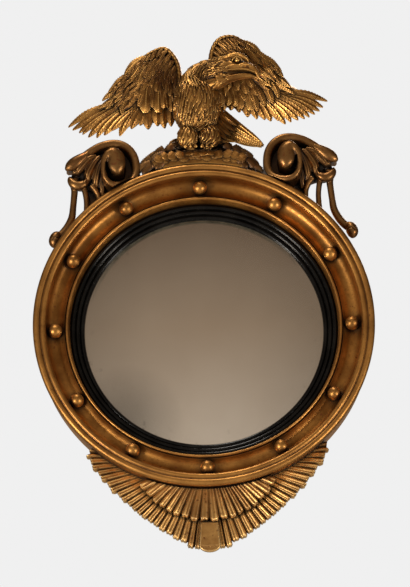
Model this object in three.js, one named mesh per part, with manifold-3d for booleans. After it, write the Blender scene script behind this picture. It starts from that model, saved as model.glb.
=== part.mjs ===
// A girandole mirror: a round convex looking glass in a turned, carved and gilded wooden frame,
// with an eagle on a rock for a crest, two acanthus scrolls and a shell apron.
//
// Millimetres, +Z up. The mirror faces -Y and hangs on the wall plane y = 0. The origin is the centre of
// the backboard's rear face. "Depth" always means the distance in front of the wall, so y = -depth.

import * as THREE from 'three';
import { mergeVertices } from 'three/addons/utils/BufferGeometryUtils.js';
import Module from 'manifold-3d';

const wasm = await Module();
wasm.setup();

// ---------------------------------------------------------------- driving dimensions

// Gap between two pieces that touch.
const fit = 0.3;

// The rings round the glass, from the middle outwards.
const sightRadius = 194; // what shows of the glass
const slipWidth = 25;
const sightMouldingWidth = 8;
const coveLip = 1;
const coveRadius = 15.5;
const coveAngle = 165; // degrees of arc
const innerBeadRadius = 5;
const outerBeadRadius = 6;
const beadOverlap = 0.5;
const beadQuirk = 140; // degrees of arc at which the outer bead meets the inner one
const sideInset = 8; // the plain side wall stands this far inside the outer bead
const ballRadius = 11;
const ballCount = 12;

// Depths of the frame.
const beadDepth = 59; // centres of both beads
const coveDepth = 50; // centre of the cove's arc
const sideWallDepth = 26; // where the plain side wall starts to flare
const sightMouldingDepth = 29.4;
const slipDepth = 25.2;
const slipFlange = 11.4;

// Glass, backboard and the blocks between them.
const glassThickness = 4;
const glassRise = 25;
const glassBorder = 6; // hidden under the slip
const boardThickness = 8;
const boardLedge = 12.5; // how far the backboard reaches over the frame
const blockHeight = 7.9;
const blockWidth = 12;
const blockLength = 24;
const blockCount = 6;

// Battens let into the back of the frame.
const battenWidth = 56;
const battenThickness = 12;
const crestBattenInset = 10; // room behind the crest batten for the hanging ring
const crestBattenRise = 120;
const apronBattenThickness = 10;
const apronBattenDrop = 70;
const battenTenon = 28; // how far a batten reaches into the frame

// Wood screws.
const screwLength = 16;
const screwShank = 1.75;
const screwHead = 3.8;
const screwHeadDepth = 2.6;
const boardScrewCount = 6;

// Hanging strap and ring.
const strapThickness = 1.6;
const strapWidth = 20;
const strapHeight = 34;
const strapRise = 26; // the ring's axis above the top of the frame
const eyeWidth = 6;
const ringRadius = 14;
const ringBar = 1.6;
const ringClearance = 0.7;

// Crest.
const plinthHeight = 18.7;
const plinthDepth = 62;
const plinthHalfWidth = 74;
const ledgeRise = 4; // top of the rock's front ledge above the plinth band
const ledgeDepth = 68;
const featherThickness = 5;
const wingBackDepth = 26;
const wingLayerStep = 6;

// Scrolls.
const scrollSpacing = 66; // from the end of the plinth band to the seat of a scroll
const scrollBackDepth = 14;
const scrollBand = 13; // width of the rolled band
const scrollFieldThickness = 16; // the sunk ground between band and volute
const volutePeak = 77;
const leafDepth = 38;
const leafSwell = 9; // how far a lobe of the leaf stands out

// Apron: two shells that fan out from one centre behind the frame.
const fanCentreRise = 75; // above the bottom of the frame
const lowerShellThickness = 6.7;
const lowerFluteHeight = 6;
const lowerFluteCount = 36;
const lowerShellReach = 177;
const lowerShellDip = 21; // how far its middle hangs below its waist
const lowerShellFlare = 48; // how far its ends stand out beyond the waist, a quarter turn from the middle
const upperShellThickness = 7.7;
const upperFluteHeight = 7;
const upperFluteCount = 15;
const upperShellReach = 126;
const upperShellHalfAngle = 64; // degrees
const tabWidth = 32;
const tabThickness = 6;

// Facets round the large rings and round small turned parts.
const ringFacets = 36;
const coveFacets = 6;
const smallFacets = 6;
const facetTolerance = 0.05;

// ---------------------------------------------------------------- sizes that follow from them

const slipRadius = sightRadius + slipWidth;
const boreRadius = slipRadius + sightMouldingWidth;
const coveSpan = THREE.MathUtils.degToRad(coveAngle);
const ballCircle = boreRadius + coveLip - coveRadius * Math.cos(coveSpan);
const coveFloor = coveDepth - coveRadius * Math.cos(coveSpan / (2 * coveFacets));
const coveOuterRadius = ballCircle + coveRadius;
const innerBeadCircle = coveOuterRadius + innerBeadRadius;
const outerBeadCircle = innerBeadCircle + innerBeadRadius + outerBeadRadius - beadOverlap;
const frameRadius = outerBeadCircle + outerBeadRadius;
const sideRadius = frameRadius - sideInset;
const boardRadius = boreRadius + boardLedge;
const boardTop = boardThickness + fit;
const slipFront = boardTop + slipDepth;
const sightBack = boardTop + slipFlange + fit;
const sightFront = sightBack + sightMouldingDepth;
const glassRadius = sightRadius + glassBorder;
const glassBackEdge = boardTop + blockHeight + fit;
const glassSphere = (glassRadius ** 2 + glassRise ** 2) / (2 * glassRise);
const crestBattenFront = crestBattenInset + battenThickness;
const crestBack = crestBattenFront + fit;

// Depth of the front of the convex glass at a distance from its centre.
function glassFront(radius) {
  const fall = glassSphere - glassRise;
  return glassBackEdge + glassThickness + Math.sqrt(glassSphere ** 2 - radius ** 2) - fall;
}

// ---------------------------------------------------------------- materials

function finish(color, roughness, metalness) {
  return new THREE.MeshStandardMaterial({ color, roughness, metalness });
}

const gilding = () => finish(0xb07a3c, 0.42, 0.75);
const darkGilding = () => finish(0x94622c, 0.5, 0.7);
const ebony = () => finish(0x0b0a09, 0.3, 0);
const mirrorGlass = () => finish(0x6f5d4a, 0.05, 0.9);
const bareWood = () => finish(0x8a6a48, 0.85, 0);
const steel = () => finish(0x6b6863, 0.5, 0.9);

// ---------------------------------------------------------------- solids from geometries

const point = (x, z, depth) => new THREE.Vector3(x, -depth, z);
const degrees = THREE.MathUtils.degToRad;

// Closes a geometry into a solid with its faces outwards.
function solidOf(geometry) {
  const bare = geometry.clone();
  bare.deleteAttribute('normal');
  bare.deleteAttribute('uv');
  const merged = mergeVertices(bare, 1e-4);
  const corners = merged.attributes.position.array;
  const index = merged.index.array;
  const triangles = [];
  const [a, b, c] = [new THREE.Vector3(), new THREE.Vector3(), new THREE.Vector3()];
  let volume = 0;
  for (let i = 0; i < index.length; i += 3) {
    const [p, q, r] = [index[i], index[i + 1], index[i + 2]];
    if (p === q || q === r || r === p) continue;
    triangles.push([p, q, r]);
    a.fromArray(corners, 3 * p);
    b.fromArray(corners, 3 * q);
    c.fromArray(corners, 3 * r);
    volume += a.dot(b.cross(c));
  }
  const faces = triangles.map(([p, q, r]) => (volume > 0 ? [p, q, r] : [p, r, q]));
  const mesh = new wasm.Mesh({
    numProp: 3,
    vertProperties: new Float32Array(corners),
    triVerts: new Uint32Array(faces.flat()),
  });
  return new wasm.Manifold(mesh);
}

function geometryOf(solid) {
  const mesh = solid.getMesh();
  const geometry = new THREE.BufferGeometry();
  geometry.setAttribute('position', new THREE.BufferAttribute(new Float32Array(mesh.vertProperties), 3));
  geometry.setIndex(new THREE.BufferAttribute(new Uint32Array(mesh.triVerts), 1));
  geometry.computeVertexNormals();
  return geometry;
}

function joined(solids) {
  return solids.reduce((whole, solid) => whole.add(solid));
}

// Turns a profile of [radius, depth] pairs round the mirror's axis.
// A profile either starts and ends on the axis or is closed here.
function turned(profile, facets = ringFacets) {
  const points = profile.map(([radius, depth]) => new THREE.Vector2(radius, -depth));
  const onAxis = profile[0][0] === 0 && profile.at(-1)[0] === 0;
  if (!onAxis) points.push(points[0].clone());
  return solidOf(new THREE.LatheGeometry(points, facets));
}

// Points of an arc in a profile, angles in degrees from the outward direction towards the front.
function arc(radius, depth, size, from, to, steps) {
  return Array.from({ length: steps + 1 }, (_, i) => {
    const angle = degrees(from + ((to - from) * i) / steps);
    return [radius + size * Math.cos(angle), depth + size * Math.sin(angle)];
  });
}

// Stands an outline of [x, z] pairs upright and gives it a thickness from one depth to another.
function upright(outline, back, front) {
  const shape = new THREE.Shape(outline.map(([x, z]) => new THREE.Vector2(x, z)));
  const geometry = new THREE.ExtrudeGeometry(shape, { depth: front - back, bevelEnabled: false });
  geometry.rotateX(Math.PI / 2);
  geometry.translate(0, -back, 0);
  return solidOf(geometry);
}

function box(x, z, width, height, back, front) {
  const geometry = new THREE.BoxGeometry(width, front - back, height);
  geometry.translate(x, -(back + front) / 2, z);
  return solidOf(geometry);
}

// Skins a row of sections with equal numbers of points and closes both ends.
function loft(sections) {
  const sides = sections[0].length;
  const vertices = sections.flat();
  const corners = () => new THREE.Float32BufferAttribute(vertices.flatMap((v) => v.toArray()), 3);
  const faces = [];
  for (let s = 0; s + 1 < sections.length; s += 1) {
    for (let i = 0; i < sides; i += 1) {
      const a = s * sides + i;
      const b = s * sides + ((i + 1) % sides);
      faces.push(a, b, a + sides, b, b + sides, a + sides);
    }
  }
  const closeEnd = (start, reversed) => {
    const centre = new THREE.Vector3();
    for (let i = 0; i < sides; i += 1) centre.addScaledVector(vertices[start + i], 1 / sides);
    const hub = vertices.push(centre) - 1;
    for (let i = 0; i < sides; i += 1) {
      const a = start + i;
      const b = start + ((i + 1) % sides);
      faces.push(...(reversed ? [hub, b, a] : [hub, a, b]));
    }
  };
  closeEnd(0, true);
  closeEnd((sections.length - 1) * sides, false);
  const geometry = new THREE.BufferGeometry();
  geometry.setAttribute('position', corners());
  geometry.setIndex(faces);
  return solidOf(geometry);
}

// A rounded limb through stations [x, z, depth, half width, half thickness].
// grow makes the room that a neighbour leaves for it.
function limb(stations, sides = 10, grow = 0) {
  const centres = stations.map(([x, z, depth]) => point(x, z, depth));
  const front = new THREE.Vector3(0, -1, 0);
  const sections = stations.map(([, , , wide, deep], s) => {
    const before = centres[Math.max(s - 1, 0)];
    const after = centres[Math.min(s + 1, centres.length - 1)];
    const along = after.clone().sub(before).normalize();
    const across = along.clone().cross(front).normalize();
    const out = across.clone().cross(along);
    const end = s === 0 ? -grow : s === centres.length - 1 ? grow : 0;
    return Array.from({ length: sides }, (_, i) => {
      const angle = (2 * Math.PI * i) / sides;
      return centres[s]
        .clone()
        .addScaledVector(along, end)
        .addScaledVector(across, (wide + grow) * Math.cos(angle))
        .addScaledVector(out, (deep + grow) * Math.sin(angle));
    });
  });
  return loft(sections);
}

// A feather or leaf lobe from its root to its tip: a blade with a raised rib.
// blunt is the width left at the tip, as a share of the full width.
function blade(root, tip, width, thickness, blunt = 0.35) {
  const along = tip.clone().sub(root);
  const direction = along.clone().normalize();
  const out = new THREE.Vector3(0, -1, 0);
  const across = direction.clone().cross(out).normalize();
  const widths = [0.65, 1, 0.9, blunt];
  const places = [0, 0.45, 0.86, 1];
  const sections = places.map((place, s) => {
    const half = (width / 2) * widths[s];
    const rib = thickness * (s === 3 ? 0.6 : 1);
    const centre = root.clone().addScaledVector(along, place);
    const at = (side, front) => centre.clone().addScaledVector(across, side).addScaledVector(out, front);
    return [at(-half, 0), at(0, rib), at(half, 0), at(0, -thickness * 0.8)];
  });
  return loft(sections);
}

// ---------------------------------------------------------------- the assembly

const girandole = new THREE.Group();

function addPiece(name, material, solid, parent = girandole) {
  const mesh = new THREE.Mesh(geometryOf(solid.simplify(facetTolerance)), material);
  mesh.name = name;
  parent.add(mesh);
  return mesh;
}

// ---------------------------------------------------------------- screws

// A countersunk wood screw driven from behind, its head flush with a surface at the given depth.
function screw(x, z, depth, grow = 0) {
  const tip = depth + screwLength + grow;
  const neck = depth + screwHeadDepth + grow;
  const profile = [
    [0, depth - grow], [screwHead + grow, depth - grow], [screwShank + grow, neck],
    [screwShank + grow, tip - 2], [0, tip],
  ];
  return turned(profile, smallFacets).translate([x, 0, z]);
}

const onCircle = (radius, angle) => [radius * Math.sin(degrees(angle)), radius * Math.cos(degrees(angle))];

const boardScrewCircle = (boreRadius + boardRadius) / 2;
const boardScrews = Array.from({ length: boardScrewCount }, (_, i) => (
  onCircle(boardScrewCircle, (360 * (i + 0.5)) / boardScrewCount)
));
const battenScrewHeight = (frameRadius - sideInset - battenTenon / 2);
const battenScrewX = battenWidth / 4;

// ---------------------------------------------------------------- frame

// The outside of the turned frame, from the wall to the crest of the outer bead.
function frameSide(grow) {
  return [
    [sideRadius + grow, 0],
    [sideRadius + grow, sideWallDepth],
    [sideRadius + 2 + grow, sideWallDepth + 12],
    [outerBeadCircle + 3 + grow, beadDepth - outerBeadRadius - 2],
    ...arc(outerBeadCircle, beadDepth, outerBeadRadius + grow, -30, 90, 3),
  ];
}

// Room that the frame takes, with the fit round it. Everything seated on the frame is cut by it.
const frameRoom = turned([[0, -fit], ...frameSide(fit), [0, beadDepth + outerBeadRadius + fit]]);

function batten(drop, reach, back, front) {
  const inner = sideRadius - battenTenon;
  const middle = (inner + reach) / 2;
  return box(0, drop * middle, battenWidth, reach - inner, back, front);
}

const crestBattenTop = frameRadius + crestBattenRise;
const apronBattenEnd = frameRadius + apronBattenDrop;
const crestBatten = batten(1, crestBattenTop, crestBattenInset, crestBattenFront);
const apronBatten = batten(-1, apronBattenEnd, 0, apronBattenThickness);

function frameNotch(drop, front) {
  const inner = sideRadius - battenTenon - fit;
  const height = battenTenon + 2 * outerBeadRadius;
  return box(0, drop * (inner + height / 2), battenWidth + 2 * fit, height, -1, front + fit);
}

const battenScrewPlaces = [
  ['crest_batten_screw_left', -battenScrewX, battenScrewHeight, crestBattenInset],
  ['crest_batten_screw_right', battenScrewX, battenScrewHeight, crestBattenInset],
  ['apron_batten_screw_left', -battenScrewX, -battenScrewHeight, 0],
  ['apron_batten_screw_right', battenScrewX, -battenScrewHeight, 0],
];

function makeFrame() {
  const profile = [
    [boardRadius + fit, 0],
    ...frameSide(0),
    ...arc(outerBeadCircle, beadDepth, outerBeadRadius, 90, beadQuirk, 1).slice(1),
    ...arc(innerBeadCircle, beadDepth, innerBeadRadius, 180 - beadQuirk, coveAngle, 3),
    ...arc(ballCircle, coveDepth, coveRadius, 0, -coveAngle, coveFacets),
    [boreRadius, coveDepth - 5],
    [boreRadius, boardTop],
    [boardRadius + fit, boardTop],
  ];
  let ring = turned(profile);
  ring = ring.subtract(frameNotch(1, crestBattenFront)).subtract(frameNotch(-1, apronBattenThickness));
  for (const [x, z] of boardScrews) ring = ring.subtract(screw(x, z, 0, fit));
  for (const [, x, z, depth] of battenScrewPlaces) ring = ring.subtract(screw(x, z, depth, fit));
  return ring;
}

addPiece('frame_ring', gilding(), makeFrame());

// Twelve balls rest in the bottom of the cove.
const ballDepth = coveFloor + fit + ballRadius;
for (let i = 0; i < ballCount; i += 1) {
  const [x, z] = onCircle(ballCircle, (360 * i) / ballCount);
  const geometry = new THREE.SphereGeometry(ballRadius, 9, 6);
  geometry.translate(x, -ballDepth, z);
  addPiece(`ball_${String(i + 1).padStart(2, '0')}`, gilding(), solidOf(geometry));
}

// The inner gilded moulding, glued into the bore, slopes down to the slip.
addPiece('sight_moulding', gilding(), turned([
  [boreRadius - fit, sightBack],
  [boreRadius - fit, sightFront - 2.9],
  [boreRadius - 2.4, sightFront],
  [boreRadius - 5, sightFront - 1.8],
  [slipRadius + 0.8, sightFront - 8],
  [slipRadius, sightFront - 15.5],
  [slipRadius, sightBack],
]));

// The ebonised slip: three reeds that step down to the glass, and a flange behind the sight moulding.
const reedCount = 3;
const slipLip = sightRadius + 1.5;
const slipLipDepth = glassFront(sightRadius) + fit + 2.7;

function slipProfile() {
  const outer = slipRadius - fit;
  const pitch = (outer - slipLip) / reedCount;
  const fall = (slipFront - slipLipDepth) / reedCount;
  const profile = [
    [boreRadius - fit, boardTop],
    [boreRadius - fit, boardTop + slipFlange],
    [outer, boardTop + slipFlange],
  ];
  for (let i = 0; i < reedCount; i += 1) {
    const radius = outer - pitch * i;
    const depth = slipFront - fall * i;
    profile.push([radius, depth - 1]);
    profile.push([radius - pitch * 0.35, depth + 1]);
    profile.push([radius - pitch * 0.8, depth - fall * 0.6]);
  }
  profile.push([slipLip, slipLipDepth - 0.8]);
  profile.push([sightRadius, slipLipDepth - 1.5]);
  profile.push([sightRadius, glassFront(sightRadius) + fit]);
  profile.push([glassRadius + fit, glassFront(glassRadius) + fit]);
  profile.push([glassRadius + fit, boardTop]);
  return profile;
}

addPiece('ebonised_slip', ebony(), turned(slipProfile()));

// The convex glass, silvered on its hollow side.
function glassProfile() {
  const radii = [0, 0.4, 0.72, 1].map((share) => share * glassRadius);
  const front = radii.map((radius) => [radius, glassFront(radius)]);
  const back = radii.map((radius) => [radius, glassFront(radius) - glassThickness]).reverse();
  return [...front, ...back];
}

addPiece('convex_glass', mirrorGlass(), turned(glassProfile()));

// Blocks glued behind the edge of the glass, inside the slip's bore.
const slipBore = (glassRadius + fit) * Math.cos(Math.PI / ringFacets);
const blockOuter = Math.sqrt((slipBore - fit) ** 2 - (blockLength / 2) ** 2);
for (let i = 0; i < blockCount; i += 1) {
  const middle = blockOuter - blockWidth / 2;
  const block = box(0, middle, blockLength, blockWidth, boardTop, boardTop + blockHeight);
  const angle = (360 * (i + 0.5)) / blockCount;
  addPiece(`glazing_block_${i + 1}`, bareWood(), block.rotate([0, angle, 0]));
}

function makeBackboard() {
  let board = turned([[0, 0], [boardRadius, 0], [boardRadius, boardThickness], [0, boardThickness]]);
  for (const [x, z] of boardScrews) board = board.subtract(screw(x, z, 0, fit));
  return board;
}

addPiece('backboard', bareWood(), makeBackboard());
boardScrews.forEach(([x, z], i) => {
  addPiece(`backboard_screw_${i + 1}`, steel(), screw(x, z, 0));
});

// ---------------------------------------------------------------- battens, strap and hanging ring

const eyeBore = ringBar + ringClearance;
const eyeRadius = eyeBore + strapThickness;
const strapFront = crestBattenInset - fit;
const ringAxisDepth = strapFront - eyeRadius;
const ringAxisHeight = frameRadius + strapRise;
const strapScrews = [0.35, 0.8].map((share) => ringAxisHeight + share * strapHeight);

function makeCrestBatten() {
  let wood = crestBatten;
  for (const [, x, z, depth] of battenScrewPlaces.slice(0, 2)) wood = wood.subtract(screw(x, z, depth, fit));
  for (const z of strapScrews) wood = wood.subtract(shortScrew(z, fit));
  return wood;
}

function shortScrew(z, grow = 0) {
  const back = strapFront - strapThickness;
  const depth = battenThickness - 3;
  const profile = [
    [0, back - grow], [screwHead - 0.8 + grow, back - grow], [screwShank + grow, back + 1.4 + grow],
    [screwShank + grow, back + depth - 1.5 + grow], [0, back + depth + grow],
  ];
  return turned(profile, smallFacets).translate([0, 0, z]);
}

function makeApronBatten() {
  let wood = apronBatten;
  for (const [, x, z, depth] of battenScrewPlaces.slice(2)) wood = wood.subtract(screw(x, z, depth, fit));
  return wood;
}

addPiece('crest_batten', bareWood(), makeCrestBatten());
addPiece('apron_batten', bareWood(), makeApronBatten());
for (const [name, x, z, depth] of battenScrewPlaces) addPiece(name, steel(), screw(x, z, depth));

function rod(radius, length, sides) {
  const geometry = new THREE.CylinderGeometry(radius, radius, length, sides);
  geometry.rotateZ(Math.PI / 2);
  geometry.translate(0, -ringAxisDepth, ringAxisHeight);
  return solidOf(geometry);
}

function makeStrap() {
  const foot = ringAxisHeight;
  const plate = box(0, foot + strapHeight / 2, strapWidth, strapHeight - 8,
    strapFront - strapThickness, strapFront);
  const neck = box(0, foot + 4, eyeWidth, 8.5, strapFront - strapThickness, strapFront);
  let strap = plate.add(neck).add(rod(eyeRadius, eyeWidth, 16)).subtract(rod(eyeBore, eyeWidth + 2, 16));
  for (const z of strapScrews) strap = strap.subtract(shortScrew(z, fit));
  return strap;
}

addPiece('hanger_strap', steel(), makeStrap());
strapScrews.forEach((z, i) => addPiece(`strap_screw_${i + 1}`, steel(), shortScrew(z)));

// The ring hangs from the eye. At rest it lies flat behind the batten.
const loop = new THREE.TorusGeometry(ringRadius, ringBar, 5, 18);
loop.rotateX(Math.PI / 2);
loop.translate(0, -ringAxisDepth, ringAxisHeight - ringRadius);
addPiece('hanging_ring', steel(), solidOf(loop));

// ---------------------------------------------------------------- plinth band and rock

// Points of the crest are given as height above the top of the frame.
const crest = ([x, z, depth, ...sizes]) => [x, z + frameRadius, depth, ...sizes];

function makePlinth(grow = 0) {
  const top = frameRadius + plinthHeight + grow;
  const foot = sideRadius - 4;
  const span = Math.asin(plinthHalfWidth / top) + grow / top;
  const steps = 8;
  const rim = (radius, sign) => Array.from({ length: steps + 1 }, (_, i) => {
    const angle = sign * span * (1 - (2 * i) / steps);
    return [radius * Math.sin(angle), radius * Math.cos(angle)];
  });
  const outline = [...rim(top, -1), ...rim(foot, 1)];
  return upright(outline, crestBack, plinthDepth + grow);
}

addPiece('plinth_band', gilding(), makePlinth().subtract(frameRoom));

// Rock: levels [height, reach beyond the plinth band's end, front] of a craggy heap, flat at the back.
function rockHeap(levels) {
  const steps = 12;
  const sections = levels.map(([height, reach, front], level) => (
    Array.from({ length: steps + 1 }, (_, i) => {
      const angle = (Math.PI * i) / steps;
      const swell = 0.06 * Math.sin(5 * angle + 2.3 * level) * Math.sin(angle);
      const crag = 1 + swell - 0.04 * Math.cos(9 * angle + level);
      const x = (plinthHalfWidth + reach) * Math.cos(angle) * crag;
      const depth = crestBack + (front - crestBack) * Math.sin(angle) ** 0.45 * (i % steps ? crag : 0);
      return point(x, frameRadius + height, depth);
    })
  ));
  return loft(sections);
}

const ledgeTop = plinthHeight + ledgeRise;

function makeRock() {
  const hump = rockHeap([
    [-14, 19, 58], [2, 16, 60], [15, 9, 57], [24, -2, 50], [38, -17, 46], [50, -26, 42], [59, -32, 36],
  ]);
  const ledge = rockHeap([
    [-14, -20, 44], [plinthHeight - 6, -20, 48],
    [plinthHeight + fit, -18, ledgeDepth - 4], [ledgeTop, -22, ledgeDepth],
  ]);
  return hump.add(ledge).subtract(makePlinth(fit)).subtract(frameRoom);
}

addPiece('rock', darkGilding(), makeRock());

// ---------------------------------------------------------------- eagle

const bodyStations = [
  [0, 57, 51, 19, 22], [0, 70, 54, 27, 31], [1, 90, 57, 34, 35], [2, 112, 58, 35, 37],
  [3, 132, 57, 32, 34], [8, 146, 59, 26, 28], [17, 154, 66, 20, 21], [29, 157, 74, 17, 18],
].map(crest);
const headStations = [
  [26, 155, 76, 18, 18], [36, 154, 82, 19, 19.5], [48, 153.5, 87, 18.5, 20], [60, 153.5, 91, 18, 18],
  [70, 151.5, 93, 16, 15], [79, 148, 94, 12.5, 11], [88, 144, 95, 9.5, 8], [95, 141, 95.5, 7, 6],
  [99, 137, 95.5, 4.6, 4], [99.5, 131, 95, 2, 2],
].map(crest);

// The back is planed flat where it is glued to the batten.
const behindCrest = box(0, frameRadius + crestBattenRise, 6 * battenWidth, 3 * crestBattenRise, 0, crestBack);
const bodyRoom = limb(bodyStations, 12, fit);
addPiece('eagle_body', gilding(), limb(bodyStations, 12).subtract(behindCrest));

function makeHead() {
  const part = (stations, sides) => limb(stations.map(crest), sides);
  const throat = part([
    [44, 141, 92, 8, 9], [66, 139.5, 95, 6, 7], [84, 138.5, 96, 4.5, 5], [93, 138, 96, 2, 3],
  ], 6);
  const brow = part([
    [42, 167, 99, 3, 5], [56, 170, 105, 4.5, 6], [70, 168.5, 106, 4, 5], [80, 161, 101, 2, 3],
  ], 5);
  const eye = part([[66, 160, 104, 3.5, 4], [66.5, 163, 106, 4.5, 4.5], [67, 166, 104, 3.5, 4]], 6);
  return joined([limb(headStations, 9), throat, brow, eye]).subtract(bodyRoom);
}

addPiece('eagle_head', gilding(), makeHead());

// Thigh feathers over a clawed foot that stands flat on the ledge of the rock.
const underFeet = box(0, frameRadius + (ledgeTop + fit) / 2, 3 * battenWidth, ledgeTop + fit, 0, 2 * ledgeDepth);

function makeLeg(side) {
  const thigh = limb([
    [14 * side, 60, 60, 9, 9], [15 * side, 51, 63, 13.5, 14], [15.5 * side, 41, 65, 14.5, 15],
    [14 * side, 31, 64, 11, 11], [14 * side, 26, 62, 7, 7],
  ].map(crest), 7);
  const toes = [-9, 0, 9].map((spread) => limb([
    [13 * side + spread * 0.3, 30, 60, 4, 4], [13 * side + spread * 0.7, 26, 68, 3.4, 3.8],
    [13 * side + spread, 24.6, 74 - Math.abs(spread) * 0.4, 2.4, 2.6],
  ].map(crest), 6));
  return joined([thigh, ...toes]).subtract(bodyRoom).subtract(underFeet);
}

addPiece('eagle_leg_left', gilding(), makeLeg(-1));
addPiece('eagle_leg_right', gilding(), makeLeg(1));

// A wedge tail that points down to the right: [root x, root z, tip x, tip z, width, depth].
function makeTail() {
  const feathers = [
    [26, 68, 100, 34, 15, 36], [34, 80, 106, 35, 16, 38], [42, 95, 104, 39, 15, 40],
    [16, 70, 54, 47, 16, 41], [20, 82, 62, 62, 15, 44],
  ];
  const blades = feathers.map(([x, z, tipX, tipZ, width, depth]) => {
    const root = point(...crest([x, z, depth]));
    const tip = point(...crest([tipX, tipZ, depth + 2]));
    return blade(root, tip, width, featherThickness + 1, 0.2);
  });
  return joined(blades).subtract(bodyRoom);
}

addPiece('eagle_tail', gilding(), makeTail());

// Wings. Feathers are rows of [root x, root z, tip x, tip z, width], x measured away from the body,
// from the wing tip inwards: flight feathers at the back, then two rows of coverts over them.
const leftWing = {
  side: -1,
  edge: [[31, 132], [29, 160], [34, 188], [51, 209], [74, 204], [93, 190], [110, 172], [124, 155]],
  plate: [
    [32, 100], [30, 170], [38, 196], [56, 209], [76, 202], [110, 172], [138, 132],
    [176, 90], [160, 72], [118, 80], [60, 84],
  ],
  rows: [
    [
      [138, 125, 213, 84, 13], [129, 118, 197, 73, 13], [119, 111, 184, 63, 13], [111, 116, 168, 61, 19],
      [106, 110, 131, 64, 17], [98, 110, 112, 74, 21], [80, 113, 82, 74, 24], [60, 119, 59, 75, 22],
      [42, 112, 42, 78, 20],
    ],
    [
      [114, 170, 144, 133, 16], [118, 143, 155, 119, 13], [105, 146, 130, 117, 14], [102, 146, 116, 99, 16],
      [85, 173, 95, 137, 16], [79, 152, 88, 114, 17], [61, 148, 68, 106, 19], [44, 144, 47, 102, 19],
    ],
    [
      [84, 199, 114, 167, 17], [74, 193, 101, 156, 17], [66, 190, 85, 147, 18], [55, 190, 67, 138, 19],
      [44, 180, 50, 132, 19],
    ],
  ],
};
const rightWing = {
  side: 1,
  edge: [[24, 168], [25, 196], [33, 218], [46, 228], [63, 228], [80, 217], [103, 197], [122, 179]],
  plate: [
    [34, 118], [26, 170], [28, 212], [46, 228], [66, 227], [104, 196], [134, 158],
    [196, 118], [180, 94], [120, 88], [66, 96],
  ],
  rows: [
    [
      [138, 142, 213, 115, 14], [134, 131, 200, 98, 13], [127, 123, 184, 89, 13], [119, 120, 166, 83, 14],
      [109, 122, 146, 76, 17], [95, 122, 110, 83, 19], [78, 129, 86, 91, 19], [62, 126, 64, 100, 18],
    ],
    [
      [105, 195, 133, 165, 16], [104, 175, 138, 141, 14], [101, 168, 134, 120, 14], [94, 157, 125, 106, 16],
      [90, 147, 109, 112, 17], [79, 147, 93, 102, 17], [64, 144, 71, 102, 19],
    ],
    [
      [78, 220, 105, 194, 17], [69, 212, 98, 176, 17], [56, 212, 88, 170, 19], [43, 212, 68, 177, 19],
      [34, 196, 52, 150, 19],
    ],
  ],
};

function makeWing({ side, edge, plate, rows }) {
  const place = ([x, z], depth) => point(side * x, frameRadius + z, depth);
  const back = upright(plate.map(([x, z]) => [side * x, frameRadius + z]), wingBackDepth, wingBackDepth + 7);
  const roll = limb(edge.map(([x, z], i) => (
    [side * x, frameRadius + z, wingBackDepth + 14 - i * 0.8, 5.5 - i * 0.3, 13 - i]
  )), 8);
  const feathers = rows.flatMap((row, layer) => row.map(([x, z, tipX, tipZ, width]) => {
    const depth = wingBackDepth + 6 + layer * wingLayerStep;
    return blade(place([x, z], depth), place([tipX, tipZ], depth + 1), width, featherThickness);
  }));
  return joined([back, roll, ...feathers]).subtract(bodyRoom);
}

addPiece('eagle_wing_left', gilding(), makeWing(leftWing));
addPiece('eagle_wing_right', gilding(), makeWing(rightWing));

// ---------------------------------------------------------------- scrolls and acanthus

// Both are set out from a point on the rim: [away from the middle, up, depth of the front].
const scrollSides = [
  { name: 'left', sign: -1, shift: [-3.5, -1.5] },
  { name: 'right', sign: 1, shift: [3.5, 1.5] },
];
const scrollRoute = [
  [80, 45, 44], [66, 51, 50], [52, 60, 52], [24, 79, 54], [-5, 82, 56], [-29, 59, 58], [-32, 30, 60],
  [-14, 6, 66], [8, 4, 70], [16, 22, 72],
];
// Width of the band along that route, as a share of the full width: its start is a rolled leaf tip.
const scrollTaper = [0.5, 1.3, 1.1, 1, 1, 1, 1, 0.95, 0.9, 0.8];
const voluteHeart = { u: 1, v: 36, halfWidth: 16, halfHeight: 17.5 };
const scrollField = [
  [-36, 20], [-33, 50], [-24, 70], [-6, 80], [14, 82], [36, 72], [56, 56], [58, 30], [52, 10],
  [46, -10], [44, -30], [0, -30], [-36, -10],
];

function rimPlace({ sign, shift }) {
  const x = plinthHalfWidth + scrollSpacing;
  const z = Math.sqrt(frameRadius ** 2 - x ** 2);
  return (u, v) => [sign * (x + u + shift[0]), z + v + shift[1]];
}

// The heart of the volute: a boss that swells forward out of the field.
function makeHeart({ u, v, halfWidth, halfHeight }, place, grow) {
  const levels = [[scrollBackDepth, 1], [volutePeak - 10, 1], [volutePeak - 3, 0.8], [volutePeak, 0.4]];
  const sides = 12;
  return loft(levels.map(([depth, share]) => Array.from({ length: sides }, (_, i) => {
    const angle = (2 * Math.PI * i) / sides;
    const across = (halfWidth * share + grow) * Math.cos(angle);
    return point(...place(u + across, v + (halfHeight * share + grow) * Math.sin(angle)), depth + grow);
  })));
}

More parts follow.
